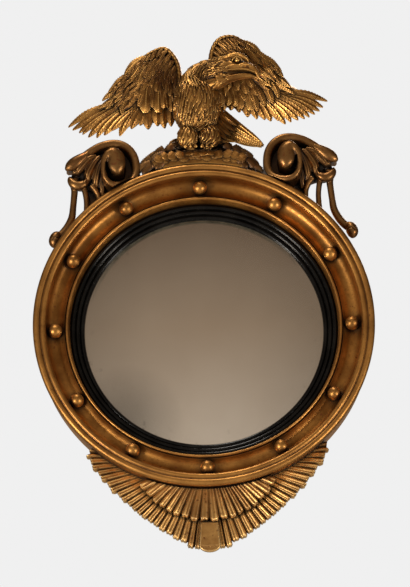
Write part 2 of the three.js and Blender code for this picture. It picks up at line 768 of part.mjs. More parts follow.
// A band on edge rolls over and round into a volute, on a sunk field that closes the space inside.
function makeScroll(side, grow = 0) {
  const place = rimPlace(side);
  const route = new THREE.CatmullRomCurve3(scrollRoute.map(([u, v, front]) => new THREE.Vector3(u, front, v)));
  const steps = 2 * (scrollRoute.length - 1);
  const sections = Array.from({ length: steps + 1 }, (_, i) => {
    const spot = route.getPoint(i / steps);
    const way = route.getTangent(i / steps);
    const across = new THREE.Vector2(way.z, -way.x).normalize();
    const taper = (scrollTaper[Math.floor(i / 2)] + scrollTaper[Math.ceil(i / 2)]) / 2;
    const half = (scrollBand / 2) * taper + grow;
    const at = (offset, depth) => (
      point(...place(spot.x + across.x * offset, spot.z + across.y * offset), depth)
    );
    const front = spot.y + grow;
    const back = scrollBackDepth - grow;
    return [
      at(-half, back), at(-half, front - 3), at(-half * 0.4, front),
      at(half * 0.4, front), at(half, front - 3), at(half, back),
    ];
  });
  const fieldFront = scrollBackDepth + scrollFieldThickness;
  const field = upright(scrollField.map(([u, v]) => place(u, v)), scrollBackDepth, fieldFront + grow);
  return joined([loft(sections), field, makeHeart(voluteHeart, place, grow)]);
}

// Lobes are [u, v, tip u, tip v, width]. Stems and the bud are limbs of [u, v, depth in front of
// the leaf, half width, half thickness].
const leafLobes = [
  [38, 54, 77, 22, 24], [36, 50, 62, 8, 20], [33, 62, 39, 8, 22], [26, 56, 22, 0, 18],
];
const leafStems = [
  [
    [67, 22, 1, 6, 6], [68, 4, -1, 4.5, 5], [69, -12, -2, 4.5, 5], [72, -30, -4, 4.5, 5],
    [78, -48, -5, 5, 5], [93, -70, -4, 6, 6],
  ],
  [[54, 22, 0, 5, 6], [50, 2, 0, 4.5, 5], [51, -36, -1, 4.5, 5]],
  [[39, 18, 0, 5, 6], [31, 2, 0, 4.5, 5], [28, -18, -1, 5, 5]],
];
const leafBud = [[96, -66, -4, 6, 6], [102, -73, -2, 9, 9], [104, -82, -2, 10, 10], [104, -90, -2, 5, 5]];

function makeAcanthus(side) {
  const place = rimPlace(side);
  const at = ([u, v, raise, ...sizes]) => [...place(u, v), leafDepth + raise, ...sizes];
  const lobes = leafLobes.map(([u, v, tipU, tipV, width], i) => (
    blade(point(...at([u, v, 0])), point(...at([tipU, tipV, 4 - i])), width, leafSwell, 0.3)
  ));
  const stems = leafStems.map((stem) => limb(stem.map(at), 5));
  const bud = limb(leafBud.map(at), 6);
  return joined([...lobes, ...stems, bud]).subtract(makeScroll(side, fit)).subtract(frameRoom);
}

for (const side of scrollSides) {
  addPiece(`scroll_${side.name}`, gilding(), makeScroll(side).subtract(frameRoom));
  addPiece(`acanthus_${side.name}`, gilding(), makeAcanthus(side));
}

// ---------------------------------------------------------------- apron

const fanCentre = -(frameRadius - fanCentreRise);

// Distance from the fan's centre to a circle round the mirror's centre, in a direction from straight down.
function toCircle(radius, angle) {
  const away = -fanCentre;
  return Math.sqrt(radius ** 2 - (away * Math.sin(angle)) ** 2) - away * Math.cos(angle);
}

// A fluted shell. Each flute has a valley, shoulders and a crest, and its end is a scallop.
function flutedShell({ count, halfAngle, reach, back, thickness, flute, scallop, steps }) {
  const sections = [];
  for (let i = 0; i <= count * steps; i += 1) {
    const share = i / (count * steps);
    const angle = degrees(halfAngle) * (2 * share - 1);
    const crown = Math.sin((Math.PI * (i % steps)) / steps) ** 0.8;
    const inner = toCircle(sideRadius - 4, angle);
    const outer = reach(angle) - scallop * (1 - crown);
    const radii = [inner, inner + (outer - inner) * 0.55, outer];
    const front = back + thickness + flute * crown;
    const at = (radius, depth) => (
      point(radius * Math.sin(angle), fanCentre - radius * Math.cos(angle), depth)
    );
    sections.push([
      at(radii[0], back), at(radii[0], back + thickness), at(radii[1], (front + back + thickness) / 2),
      at(radii[2], front), at(radii[2] - 1.5, back),
    ]);
  }
  return loft(sections);
}

// The lower shell is longest in the middle and at its flared ends.
function lowerReach(angle) {
  const turn = Math.abs(THREE.MathUtils.radToDeg(angle));
  const waist = lowerShellReach - lowerShellDip;
  if (turn < 40) return waist + lowerShellDip * ((40 - turn) / 40) ** 2;
  return waist + lowerShellFlare * ((turn - 40) / 50) ** 2;
}

const lowerShellBack = apronBattenThickness + fit;
const upperShellBack = lowerShellBack + lowerShellThickness + lowerFluteHeight + fit;

addPiece('apron_lower_shell', gilding(), flutedShell({
  count: lowerFluteCount, halfAngle: 88, reach: lowerReach, back: lowerShellBack,
  thickness: lowerShellThickness, flute: lowerFluteHeight, scallop: 3, steps: 2,
}).subtract(frameRoom));

addPiece('apron_upper_shell', gilding(), flutedShell({
  count: upperFluteCount, halfAngle: upperShellHalfAngle, reach: () => upperShellReach, back: upperShellBack,
  thickness: upperShellThickness, flute: upperFluteHeight, scallop: 5, steps: 4,
}).subtract(frameRoom));

// A plain tab with a round end hangs in front of the lower shell.
function makeTab() {
  const top = fanCentre - upperShellReach - fit;
  const foot = fanCentre - lowerShellReach - 1;
  const half = tabWidth / 2;
  const round = Array.from({ length: 7 }, (_, i) => {
    const angle = (Math.PI * i) / 6;
    return [half * Math.cos(angle), foot + 12 - 12 * Math.sin(angle)];
  });
  const outline = [[-half * 0.85, top], ...round.reverse(), [half * 0.85, top]];
  return upright(outline, upperShellBack, upperShellBack + tabThickness);
}

addPiece('apron_tab', gilding(), makeTab());

export default girandole;
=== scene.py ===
# %% [markdown]
# # A girandole mirror, dressed for its portrait
#
# A girandole mirror is a round convex looking glass in a turned and gilded wooden frame. This one has twelve
# balls in its cove, an eagle on a rock for a crest, a scroll with an acanthus leaf on each shoulder, and a
# carved shell below. The solids come from the CAD model. Here each of them gets its carving and its finish.
#
# All sizes are in millimetres until the very last step, because a carver thinks in millimetres. A place is
# given as right, up, and depth in front of the wall.

import math

import bpy
import numpy as np
from mathutils import Matrix, Vector


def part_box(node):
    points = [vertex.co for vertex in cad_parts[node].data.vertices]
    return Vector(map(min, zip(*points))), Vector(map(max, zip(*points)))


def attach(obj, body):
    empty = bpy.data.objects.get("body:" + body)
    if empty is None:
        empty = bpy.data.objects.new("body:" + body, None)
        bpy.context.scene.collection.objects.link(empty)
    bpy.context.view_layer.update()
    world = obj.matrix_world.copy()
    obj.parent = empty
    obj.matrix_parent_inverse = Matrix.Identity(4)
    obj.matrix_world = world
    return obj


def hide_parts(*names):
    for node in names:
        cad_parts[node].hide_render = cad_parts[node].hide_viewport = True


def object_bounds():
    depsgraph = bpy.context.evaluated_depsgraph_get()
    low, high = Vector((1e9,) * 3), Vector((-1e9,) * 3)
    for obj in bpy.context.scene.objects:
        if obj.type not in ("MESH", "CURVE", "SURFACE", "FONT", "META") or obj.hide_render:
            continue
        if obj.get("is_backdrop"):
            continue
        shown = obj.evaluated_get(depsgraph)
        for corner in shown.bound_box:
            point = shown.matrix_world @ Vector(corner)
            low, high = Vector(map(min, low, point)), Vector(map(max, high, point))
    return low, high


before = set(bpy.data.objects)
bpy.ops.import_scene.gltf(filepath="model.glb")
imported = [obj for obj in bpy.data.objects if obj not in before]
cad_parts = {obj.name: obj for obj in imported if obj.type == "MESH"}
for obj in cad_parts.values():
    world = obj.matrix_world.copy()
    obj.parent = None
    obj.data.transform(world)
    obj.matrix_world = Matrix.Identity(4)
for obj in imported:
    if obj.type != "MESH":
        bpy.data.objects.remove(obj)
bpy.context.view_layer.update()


# %% [markdown]
# ## Points, skins and pieces
#
# Nearly every form here is a row of closed sections with a skin over them: a turned ring is a profile carried
# round the axis, a feather is an eye-shaped section carried from root to tip. Holding the sections in one
# numpy array lets us press carving into thousands of points at once, which is far quicker than editing a
# mesh vertex by vertex.

# %% Place points in the frame
def place(x, z, depth):
    """From millimetres right, up and in front of the wall to metres in the shared frame."""
    x, z, depth = np.broadcast_arrays(x, z, depth)
    return np.stack([x, -depth, z], axis=-1) / 1000.0


def level_ring(flat, depth):
    """A ring of points (right, up) that all lie at one depth."""
    return place(flat[:, 0], flat[:, 1], depth)


def full_turn(count):
    """That many angles, evenly spaced, once round."""
    return np.linspace(0, 2 * math.pi, count, endpoint=False)


def outward(points, faces):
    """Turns all faces over if the skin came out inside out."""
    quads = np.array([f for f in faces if len(f) == 4])
    volume = 0.0
    for a, b, c in ((0, 1, 2), (0, 2, 3)):
        p, q, r = points[quads[:, a]], points[quads[:, b]], points[quads[:, c]]
        volume += np.einsum("ij,ij->i", p, np.cross(q, r)).sum()
    return points, (faces if volume > 0 else [f[::-1] for f in faces])


# %% Skin a row of sections
def skin(rings, loop=False):
    """rings has the shape (sections, points round, 3). loop joins the last section to the first."""
    rows, count = rings.shape[:2]
    row = np.arange(rows if loop else rows - 1)[:, None]
    col = np.arange(count)[None, :]
    a, b = row * count + col, row * count + (col + 1) % count
    step = ((row + 1) % rows - row) * count
    faces = np.stack([a, b, b + step, a + step], -1).reshape(-1, 4).tolist()
    points = rings.reshape(-1, 3)
    if not loop:
        start, last = len(points), (rows - 1) * count
        points = np.vstack([points, rings[0].mean(0), rings[-1].mean(0)])
        for i in range(count):
            j = (i + 1) % count
            faces.append([start, j, i])
            faces.append([start + 1, last + i, last + j])
    return outward(points, faces)


def together(shapes):
    """Several closed skins as one."""
    points, faces, start = [], [], 0
    for p, f in shapes:
        points.append(p)
        faces += [[i + start for i in face] for face in f]
        start += len(p)
    return np.vstack(points), faces


# %% Make a piece of the mirror
def piece(name, shape, finish, stands_for=(), body="frame", sharp=40):
    """Edges that bend by more than sharp degrees stay crisp, the others are shaded round."""
    points, faces = shape
    mesh = bpy.data.meshes.new(name)
    mesh.from_pydata(points.tolist(), [], faces)
    mesh.shade_smooth()
    mesh.set_sharp_from_angle(angle=math.radians(sharp))
    mesh.materials.append(finish)
    made = bpy.data.objects.new(name, mesh)
    bpy.context.scene.collection.objects.link(made)
    if stands_for:
        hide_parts(*stands_for)
    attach(made, body)
    print(f"{name}: {len(faces)} faces")


# %% [markdown]
# ## Finishes
#
# Water gilding is gold leaf over coloured clay and gesso. It is a metal, but an uneven one: a century of dust
# stays in the hollows and turns them brown, the leaf wears through to the clay on the high edges, and the
# surface carries the fine marks of the gesso brush. The nodes below build that up, and paint light and shade
# into the colour as well: the brown of the hollows is partly dust and partly painted shade, and the crests get
# a painted highlight. An ambient occlusion node finds the hollows on any shape, so one recipe does for
# mouldings and feathers alike.

# %% Small helpers for shader nodes
def new_finish(name):
    finish = bpy.data.materials.new(name)
    finish.use_nodes = True
    tree = finish.node_tree
    shader = next(n for n in tree.nodes if n.type == "BSDF_PRINCIPLED")
    where = tree.nodes.new("ShaderNodeTexCoord").outputs["Object"]
    return finish, tree, shader, where


def drive(tree, shader, settings):
    """Sets inputs of the shader by their names, each to a socket or to a number."""
    for name, value in settings.items():
        if isinstance(value, bpy.types.NodeSocket):
            tree.links.new(value, shader.inputs[name])
        else:
            shader.inputs[name].default_value = value


def noise(tree, where, scale, detail, stretch=None):
    """A noise field in the piece's own space, scale in lumps per metre."""
    if stretch:
        mapping = tree.nodes.new("ShaderNodeMapping")
        mapping.inputs["Scale"].default_value = stretch
        tree.links.new(where, mapping.inputs["Vector"])
        where = mapping.outputs["Vector"]
    field = tree.nodes.new("ShaderNodeTexNoise")
    field.inputs["Scale"].default_value = scale
    field.inputs["Detail"].default_value = detail
    tree.links.new(where, field.inputs["Vector"])
    return field.outputs["Fac"]


def ramp(tree, value, stops):
    """Colours or greys along a value: stops are (position, grey or rgb)."""
    node = tree.nodes.new("ShaderNodeValToRGB")
    edge = node.color_ramp
    while len(edge.elements) < len(stops):
        edge.elements.new(0.5)
    for element, (position, colour) in zip(edge.elements, stops):
        element.position = position
        grey = isinstance(colour, (int, float))
        element.color = (colour, colour, colour, 1) if grey else (*colour, 1)
    tree.links.new(value, node.inputs["Fac"])
    return node.outputs["Color"]


def blend(tree, factor, a, b, mode="MIX"):
    """a where the factor is 0, b where it is 1. Each may be a socket or a colour."""
    node = tree.nodes.new("ShaderNodeMix")
    node.data_type = "RGBA"
    node.blend_type = mode
    for socket, value in ((node.inputs[0], factor), (node.inputs[6], a), (node.inputs[7], b)):
        if isinstance(value, bpy.types.NodeSocket):
            tree.links.new(value, socket)
        elif isinstance(value, (int, float)):
            socket.default_value = value
        else:
            socket.default_value = (*value, 1)
    return node.outputs[2]


def bumps(tree, shader, layers):
    """Chains bump nodes: layers are (height socket, distance in mm, strength)."""
    below = None
    for height, distance, strength in layers:
        node = tree.nodes.new("ShaderNodeBump")
        node.inputs["Distance"].default_value = distance / 1000
        node.inputs["Strength"].default_value = strength
        tree.links.new(height, node.inputs["Height"])
        if below:
            tree.links.new(below, node.inputs["Normal"])
        below = node.outputs["Normal"]
    tree.links.new(below, shader.inputs["Normal"])


# %% Gilding
RED_CLAY = (0.23, 0.07, 0.025)
FLAT = 0.5  # the pointiness of a flat face: edges have more, grooves less


def gilding(name, leaf, shade, dust_and_shade, glint, reach, rough, grime_and_shade=(0.35, 0.85), wear=0.3,
            relief=(0.35, 0.45, 0.4), crest=(0.5, 0.56)):
    """leaf and shade are the light and the toned gold, and glint is a painted highlight on the crests of the
    carving, partly also leaf rubbed bright there. The dust colour lies in hollows up to reach mm wide and is
    partly dust and partly painted shade; the grime levels say how open a spot has to be for it to thin out and
    to end. wear bares the clay. relief has the strengths of the coarse, middle and fine bumps, and crest the
    pointiness at which the painted highlight starts and is complete."""
    finish, tree, shader, where = new_finish(name)
    broad = noise(tree, where, 22, 3)
    fine = noise(tree, where, 160, 5)
    grain = noise(tree, where, 620, 3)
    gold = blend(tree, ramp(tree, broad, [(0.36, 0.0), (0.66, 1.0)]), leaf, shade)
    gold = blend(tree, ramp(tree, fine, [(0.5, 0.0), (0.72, 0.65)]), gold, shade)
    clay = ramp(tree, fine, [(0.0, 1.0), (0.26 + 0.08 * wear, 0.9), (0.34 + 0.08 * wear, 0.0)])
    gold = blend(tree, clay, gold, RED_CLAY)
    form = tree.nodes.new("ShaderNodeNewGeometry").outputs["Pointiness"]
    # Painted highlight: the crests of the carving get a lighter gold, partly also leaf rubbed bright there.
    gold = blend(tree, ramp(tree, form, [(crest[0], 0.0), (crest[1], 0.85)]), gold, glint)
    # Painted shade: hollows found by ambient occlusion and grooves found by pointiness take the dark dust colour,
    # which stands for dust and for shade both.
    hollow = tree.nodes.new("ShaderNodeAmbientOcclusion")
    hollow.samples = 6
    hollow.inputs["Distance"].default_value = reach / 1000
    open_sky = ramp(tree, hollow.outputs["AO"], [(grime_and_shade[0], 0.0), (grime_and_shade[1], 1.0)])
    span = crest[1] - crest[0]
    groove = ramp(tree, form, [(FLAT - 1.6 * span, 0.15), (FLAT - 0.2 * span, 1.0)])
    clean_and_unshaded = blend(tree, 1.0, open_sky, groove, "MULTIPLY")
    drive(tree, shader, {
        "Base Color": blend(tree, clean_and_unshaded, dust_and_shade, gold),
        "Metallic": ramp(tree, clean_and_unshaded, [(0.0, 0.25), (0.7, 0.94)]),
        "Roughness": ramp(tree, fine, [(0.3, rough[0]), (0.75, rough[1])]),
    })
    bumps(tree, shader, [(broad, 1.2, relief[0]), (fine, 0.5, relief[1]), (grain, 0.12, relief[2])])
    return finish


turned_gold = gilding(
    "turned_gilding", leaf=(0.56, 0.258, 0.06), shade=(0.26, 0.104, 0.022), dust_and_shade=(0.02, 0.006, 0.0015),
    glint=(0.68, 0.36, 0.11), reach=17, rough=(0.36, 0.5), relief=(0.16, 0.14, 0.12),
)
carved_gold = gilding(
    "carved_gilding", leaf=(0.60, 0.29, 0.072), shade=(0.21, 0.085, 0.021), dust_and_shade=(0.012, 0.0045, 0.001),
    glint=(0.92, 0.54, 0.16), reach=10, rough=(0.32, 0.46), grime_and_shade=(0.42, 0.95), wear=0.5, crest=(0.508, 0.56),
)
# Painted light: a brighter copy of the gilding for the shell and its tab, which face the low lamps.
lit_gold = gilding(
    "lit_gilding", leaf=(0.86, 0.50, 0.165), shade=(0.42, 0.205, 0.06), dust_and_shade=(0.03, 0.012, 0.0035),
    glint=(1.0, 0.74, 0.36), reach=9, rough=(0.38, 0.54), grime_and_shade=(0.3, 0.85), wear=0.4, crest=(0.5, 0.6),
)
# Painted shade: a darker copy of the gilding for the scrolls, the acanthus and the rock, which lie back in shadow.
shaded_gold = gilding(
    "shaded_gilding", leaf=(0.30, 0.145, 0.045), shade=(0.13, 0.053, 0.016), dust_and_shade=(0.007, 0.0026, 0.0008),
    glint=(0.50, 0.26, 0.09), reach=14, rough=(0.32, 0.48), grime_and_shade=(0.5, 1.0), wear=0.7,
)
print("gilding:", [m.name for m in (turned_gold, carved_gold, lit_gold, shaded_gold)])


# %% [markdown]
# The slip next to the glass is ebonised: pear wood stained black and polished. It is nearly featureless, so
# it needs small faults to look real: faint rubbing, and a few chips where the white gesso shows.

# %% Ebonised wood
def ebonised():
    finish, tree, shader, where = new_finish("ebonised_wood")
    fine = noise(tree, where, 240, 5)
    broad = noise(tree, where, 30, 3)
    deep_black, rubbed_black, gesso = (0.003, 0.0026, 0.0024), (0.009, 0.008, 0.007), (0.5, 0.47, 0.42)
    black = blend(tree, ramp(tree, broad, [(0.4, 0.0), (0.7, 1.0)]), deep_black, rubbed_black)
    chip = ramp(tree, fine, [(0.765, 0.0), (0.785, 1.0)])
    drive(tree, shader, {
        "Base Color": blend(tree, chip, black, gesso),
        "Roughness": ramp(tree, fine, [(0.3, 0.13), (0.75, 0.26)]),
        "Specular IOR Level": 0.2,
    })
    bumps(tree, shader, [(fine, 0.15, 0.25)])
    return finish


ebony = ebonised()


# %% [markdown]
# An old looking glass is a mirror seen through slightly brown glass. Tin and mercury silvering darkens from
# the rim inwards and blooms into cloudy spots, so the finish is a tinted metal whose gloss and colour both
# follow noise fields, the spots only near the rim. Near the top, a greenish reflection of the bevel is painted
# into the rim, and a soft painted shadow darkens the glass low on the left.

# %% Aged mirror glass
def aged_mirror():
    finish, tree, shader, where = new_finish("aged_mirror")
    cloud = noise(tree, where, 7, 4)
    spots = noise(tree, where, 75, 6)
    flat = tree.nodes.new("ShaderNodeMapping")
    flat.inputs["Scale"].default_value = (1, 0, 1)
    tree.links.new(where, flat.inputs["Vector"])

    def metres_from(x, z):
        """How far each spot of the glass is from one place on it."""
        node = tree.nodes.new("ShaderNodeVectorMath")
        node.operation = "DISTANCE"
        node.inputs[1].default_value = (x, 0.0, z)
        tree.links.new(flat.outputs["Vector"], node.inputs[0])
        return node.outputs["Value"]

    radius = metres_from(0.0, 0.0)
    rim = ramp(tree, radius, [(0.165, 0.0), (0.197, 1.0)])
    tint = blend(tree, ramp(tree, cloud, [(0.35, 0.0), (0.7, 1.0)]), (0.71, 0.62, 0.52), (0.65, 0.555, 0.455))
    foxed = blend(tree, rim, (0, 0, 0), ramp(tree, spots, [(0.62, 0.0), (0.7, 0.4)]))
    colour = blend(tree, foxed, tint, (0.05, 0.05, 0.04))
    # Painted reflection: a greenish band of light in the rim near the top, standing for the bevel's reflection.
    bevel = ramp(tree, radius, [(0.1885, 0.0), (0.1905, 1.0), (0.199, 0.8)])
    near_top = ramp(tree, metres_from(-0.04, 0.24), [(0.13, 1.0), (0.24, 0.0)])
    bevel_reflection = ramp(tree, spots, [(0.3, (0.13, 0.14, 0.115)), (0.62, (0.36, 0.38, 0.32))])
    colour = blend(tree, blend(tree, 1.0, bevel, near_top, "MULTIPLY"), colour, bevel_reflection)
    # Painted shadow: a soft darkening low on the left of the glass.
    lower_left_shadow = ramp(tree, metres_from(-0.135, -0.155), [(0.0, 0.5), (0.03, 0.6), (0.1, 1.0)])
    drive(tree, shader, {
        "Base Color": blend(tree, 1.0, colour, lower_left_shadow, "MULTIPLY"),
        "Metallic": 0.93,
        "Roughness": ramp(tree, spots, [(0.3, 0.04), (0.8, 0.1)]),
        "Coat Weight": 0.5,
        "Coat Roughness": 0.02,
    })
    bumps(tree, shader, [(cloud, 0.6, 0.12)])
    return finish


old_mirror = aged_mirror()


# %% [markdown]
# Nobody gilded the back. The backboard and the battens are old pine: brown with age, with darker grain that
# runs along the board. Stretching a noise field along one axis gives the grain. The strap, ring and screws
# are iron that has gone dark, with a little brown rust.

# %% Bare pine
def old_pine():
    finish, tree, shader, where = new_finish("old_pine")
    upright_grain = (1.0, 1.0, 0.06)
    grain = noise(tree, where, 260, 6, upright_grain)
    growth = noise(tree, where, 45, 3, upright_grain)
    dirt = noise(tree, where, 14, 5)
    dark, light, middling = (0.11, 0.055, 0.024), (0.26, 0.15, 0.075), (0.16, 0.085, 0.04)
    wood = ramp(tree, growth, [(0.3, dark), (0.5, light), (0.7, middling)])
    wood = blend(tree, ramp(tree, grain, [(0.45, 0.0), (0.7, 0.7)]), wood, (0.07, 0.033, 0.014))
    wood = blend(tree, ramp(tree, dirt, [(0.45, 0.0), (0.75, 0.6)]), wood, (0.05, 0.032, 0.02))
    drive(tree, shader, {"Base Color": wood, "Roughness": ramp(tree, grain, [(0.3, 0.65), (0.8, 0.9)])})
    bumps(tree, shader, [(growth, 0.5, 0.4), (grain, 0.25, 0.5)])
    return finish


pine = old_pine()


# %% Dark iron
def dark_iron():
    finish, tree, shader, where = new_finish("dark_iron")
    rust = noise(tree, where, 320, 6)
    fine = noise(tree, where, 1500, 4)
    rusty = ramp(tree, rust, [(0.5, 0.0), (0.68, 1.0)])
    drive(tree, shader, {
        "Base Color": blend(tree, rusty, (0.16, 0.15, 0.14), (0.13, 0.055, 0.022)),
        "Metallic": ramp(tree, rust, [(0.48, 0.9), (0.66, 0.15)]),
        "Roughness": ramp(tree, rust, [(0.4, 0.38), (0.7, 0.8)]),
    })
    bumps(tree, shader, [(rust, 0.2, 0.4), (fine, 0.06, 0.5)])
    return finish


iron = dark_iron()


# %% [markdown]
# ## The turned frame
#
# The frame was turned on a lathe, so it is one profile carried round the mirror's axis. The profile runs from
# the wall up the plain side, over the big outer bead and the small inner bead, through the deep cove and down
# to the rabbet. Real turners leave a fine sunk line, a quirk, between one member and the next: it is what
# makes the mouldings read as crisp lines of light.

# %% Profiles
def arc(radius, depth, size, start, end, steps):
    """Part of a circle about (radius, depth), from one angle to another in degrees."""
    angle = np.radians(np.linspace(start, end, steps))
    return np.stack([radius + size * np.cos(angle), depth + size * np.sin(angle)], -1)


def softened(profile, size):
    """Rounds each corner of a closed profile by size mm, as sandpaper does."""
    profile = np.asarray(profile, float)
    before, after = np.roll(profile, 1, 0), np.roll(profile, -1, 0)
    out = []
    for p, a, b in zip(profile, before, after):
        back, on = a - p, b - p
        cut_back = min(size, 0.4 * np.linalg.norm(back))
        cut_on = min(size, 0.4 * np.linalg.norm(on))
        start = p + back / max(np.linalg.norm(back), 1e-9) * cut_back
        end = p + on / max(np.linalg.norm(on), 1e-9) * cut_on
        for t in np.linspace(0, 1, 4):
            out.append((1 - t) ** 2 * start + 2 * t * (1 - t) * p + t**2 * end)
    return np.array(out)


def turned(profile):
    """Carries a closed profile of (radius, depth) round the axis."""
    angle = full_turn(288)[:, None]
    radius, depth = profile[None, :, 0], profile[None, :, 1]
    return skin(place(radius * np.sin(angle), radius * np.cos(angle), depth), loop=True)


def turned_disc(profile):
    """The same for a profile that starts and ends close to the axis."""
    angle = full_turn(256)[None, :]
    radius, depth = profile[:, 0, None], profile[:, 1, None]
    return skin(place(radius * np.sin(angle), radius * np.cos(angle), depth))


# %% The frame ring
RIM = 279.97  # radius of the outer bead, where the crest and the scrolls are set out from
frame_profile = np.vstack([
    [[239.9, 0.3], [271.6, 0.3], [271.9, 1.2], [271.9, 26.0], [273.2, 38.0], [275.4, 48.6], [276.2, 50.2]],
    arc(273.85, 58.95, 5.95, -62, 134, 24),
    [[268.9, 61.6]],
    arc(263.6, 58.85, 4.9, 38, 172, 20),
    [[258.2, 57.4]],
    arc(243.0, 50.2, 15.2, 8, -165, 40),
    [[227.9, 45.0], [227.3, 44.6], [227.3, 8.6], [240.0, 8.6]],
])
ring_shape = turned(frame_profile)


BOX_FACES = [[0, 2, 3, 1], [4, 5, 7, 6], [0, 1, 5, 4], [2, 6, 7, 3], [0, 4, 6, 2], [1, 3, 7, 5]]


def without(shape, *cutters):
    """Cuts boxes, given as their two corners in metres, out of a shape."""
    made = bpy.data.objects.new("cut", bpy.data.meshes.new("cut"))
    made.data.from_pydata(shape[0].tolist(), [], shape[1])
    bpy.context.scene.collection.objects.link(made)
    gone = [made]
    for low, high in cutters:
        corners = [[(low, high)[(n >> k) & 1][k] for k in range(3)] for n in range(8)]
        cutter = bpy.data.objects.new("cutter", bpy.data.meshes.new("cutter"))
        cutter.data.from_pydata(corners, [], BOX_FACES)
        bpy.context.scene.collection.objects.link(cutter)
        tool = made.modifiers.new("cut", "BOOLEAN")
        tool.operation, tool.object, tool.solver = "DIFFERENCE", cutter, "EXACT"
        gone.append(cutter)
    shape = read_back(made)
    for old in gone:
        bpy.data.objects.remove(old)
    return shape


def read_back(made):
    """The points and faces of an object with its modifiers applied."""
    solved = made.evaluated_get(bpy.context.evaluated_depsgraph_get()).to_mesh()
    points = np.empty(len(solved.vertices) * 3)
    solved.vertices.foreach_get("co", points)
    faces = [list(p.vertices) for p in solved.polygons]
    return points.reshape(-1, 3), faces


def notch(node):
    """Room for a batten that is let into the back of the ring, in metres."""
    low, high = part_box(node)
    gap, behind_the_ring = 0.4 / 1000, 0.01
    return [c - gap for c in low], [high[0] + gap, behind_the_ring, high[2] + gap]


ring_shape = without(ring_shape, notch("crest_batten"), notch("apron_batten"))
piece("turned_frame", ring_shape, turned_gold, ["frame_ring"], sharp=50)


# %% [markdown]
# The inner gilded moulding rises from the black slip in a hollow curve and ends in a small bright bead. The
# slip itself has three reeds that step down to the glass. Both are glued into the bore of the frame.

# %% Sight moulding and slip
moulding = softened([
    [226.6, 20.3], [226.6, 46.2], [225.9, 48.4], [224.6, 49.3], [223.0, 49.0], [222.0, 47.4], [221.3, 44.6],
    [220.4, 41.2], [219.6, 37.0], [219.3, 33.8], [219.3, 20.3],
], 0.9)
piece("inner_moulding", turned(moulding), turned_gold, ["sight_moulding"], sharp=55)


def reeded_slip():
    outer, inner, reeds = 218.6, 195.6, 3
    front, lip = 33.4, 21.6
    pitch, fall = (outer - inner) / reeds, (front - lip) / reeds
    profile = [[226.8, 8.5], [226.8, 19.6], [218.8, 19.6]]
    for i in range(reeds):
        radius, depth = outer - pitch * (i + 0.5), front - fall * (i + 0.45)
        profile += arc(radius, depth - 1.6, pitch * 0.46, 10, 172, 12).tolist()
    profile += [[195.2, 21.4], [194.4, 20.9], [194.2, 20.4], [194.2, 20.0], [200.2, 18.4], [200.3, 8.5]]
    return turned(np.array(profile))


piece("reeded_slip", reeded_slip(), ebony, ["ebonised_slip"], sharp=50)


# %% [markdown]
# The glass is part of a sphere of about 0.8 m radius. That gentle dome shows the whole room, which is what
# these mirrors were loved for. The front needs many fine rings, because a mirror shows every flat facet.

# %% Convex glass
GLASS_RADIUS, GLASS_RISE, GLASS_THICK, GLASS_BACK = 200.0, 25.0, 4.0, 16.5


def glass_front(radius):
    sphere = (GLASS_RADIUS**2 + GLASS_RISE**2) / (2 * GLASS_RISE)
    return GLASS_BACK + GLASS_THICK + np.sqrt(sphere**2 - radius**2) - (sphere - GLASS_RISE)


spans = np.linspace(0.5, 198.0, 70)
ground_edge = [[199.2, glass_front(199.2) - 0.6], [199.6, glass_front(199.6) - 3.4]]
dome = np.vstack([
    np.stack([spans, glass_front(spans)], -1), ground_edge,
    np.stack([spans, glass_front(spans) - 3.9], -1)[::-1],
])
piece("mirror_plate", turned_disc(dome), old_mirror, ["convex_glass"], sharp=60)


# %% [markdown]
# The twelve balls are turned from wood and gilded like the rest. No turned ball is a perfect sphere, so each
# is a lathe shape that is slightly pushed about, sits on a small neck in the cove, and is set at its own
# angle. They are made in one loop because they differ only in those small ways.

# %% Balls
BALL_RADIUS = 11.6


def lathe(middle, radius, behind, around):
    """Rings about a line that runs straight back from the middle: radius and place behind it, for each."""
    return skin(place(middle[0] + radius * np.cos(around), middle[2] + radius * np.sin(around),
                      -(middle[1] + behind + 0 * around)))


polar, turn = np.linspace(0.02, math.pi - 0.02, 40)[:, None], full_turn(56)[None, :]
flare = arc(0, 0, 1, 0, 90, 6)[:, 1, None]
rng = np.random.default_rng(12)
for i in range(12):
    low, high = (1000 * np.array(corner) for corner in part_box(f"ball_{i + 1:02d}"))
    middle = (low + high) / 2
    swell = BALL_RADIUS + 0.08 * np.sin(3 * polar + rng.uniform(0, 6)) + 0.08 * np.sin(2 * turn + rng.uniform(0, 6))
    bulb = lathe(middle, swell * np.sin(polar), swell * np.cos(polar), turn)
    neck = lathe(middle, 5.6 - 1.4 * flare, 8.6 + 2.2 * (1 - flare), full_turn(40)[None, :])
    piece(f"cove_ball_{i + 1:02d}", together([bulb, neck]), turned_gold,
          [f"ball_{i + 1:02d}"], sharp=60)


# %% [markdown]
# ## Carved forms
#
# Three kinds of form make up all of the carving. A *limb* is a rounded bar through a few stations: necks,
# thighs, stems. A *blade* is a leaf or a feather: thin, arched across, with a raised quill and cut barbs. And
# *plumage* is a relief of small overlapping feathers that is pressed into a limb.

# %% Smooth curves through stations
def smooth(stations, steps):
    """A Catmull-Rom curve through rows of numbers."""
    s = np.asarray(stations, float)
    s = np.vstack([2 * s[0] - s[1], s, 2 * s[-1] - s[-2]])
    spot = np.linspace(0, len(s) - 3 - 1e-9, steps)
    i = spot.astype(int)
    t = (spot - i)[:, None]
    a, b, c, d = s[i], s[i + 1], s[i + 2], s[i + 3]
    return 0.5 * (2 * b + (c - a) * t + (2 * a - 5 * b + 4 * c - d) * t**2 + (3 * b - a - 3 * c + d) * t**3)


def unit(vectors):
    """The same directions, each one long."""
    return vectors / np.maximum(np.linalg.norm(vectors, axis=-1, keepdims=True), 1e-9)


TO_THE_ROOM = np.array([0.0, 0.0, 1.0])  # in (right, up, depth)


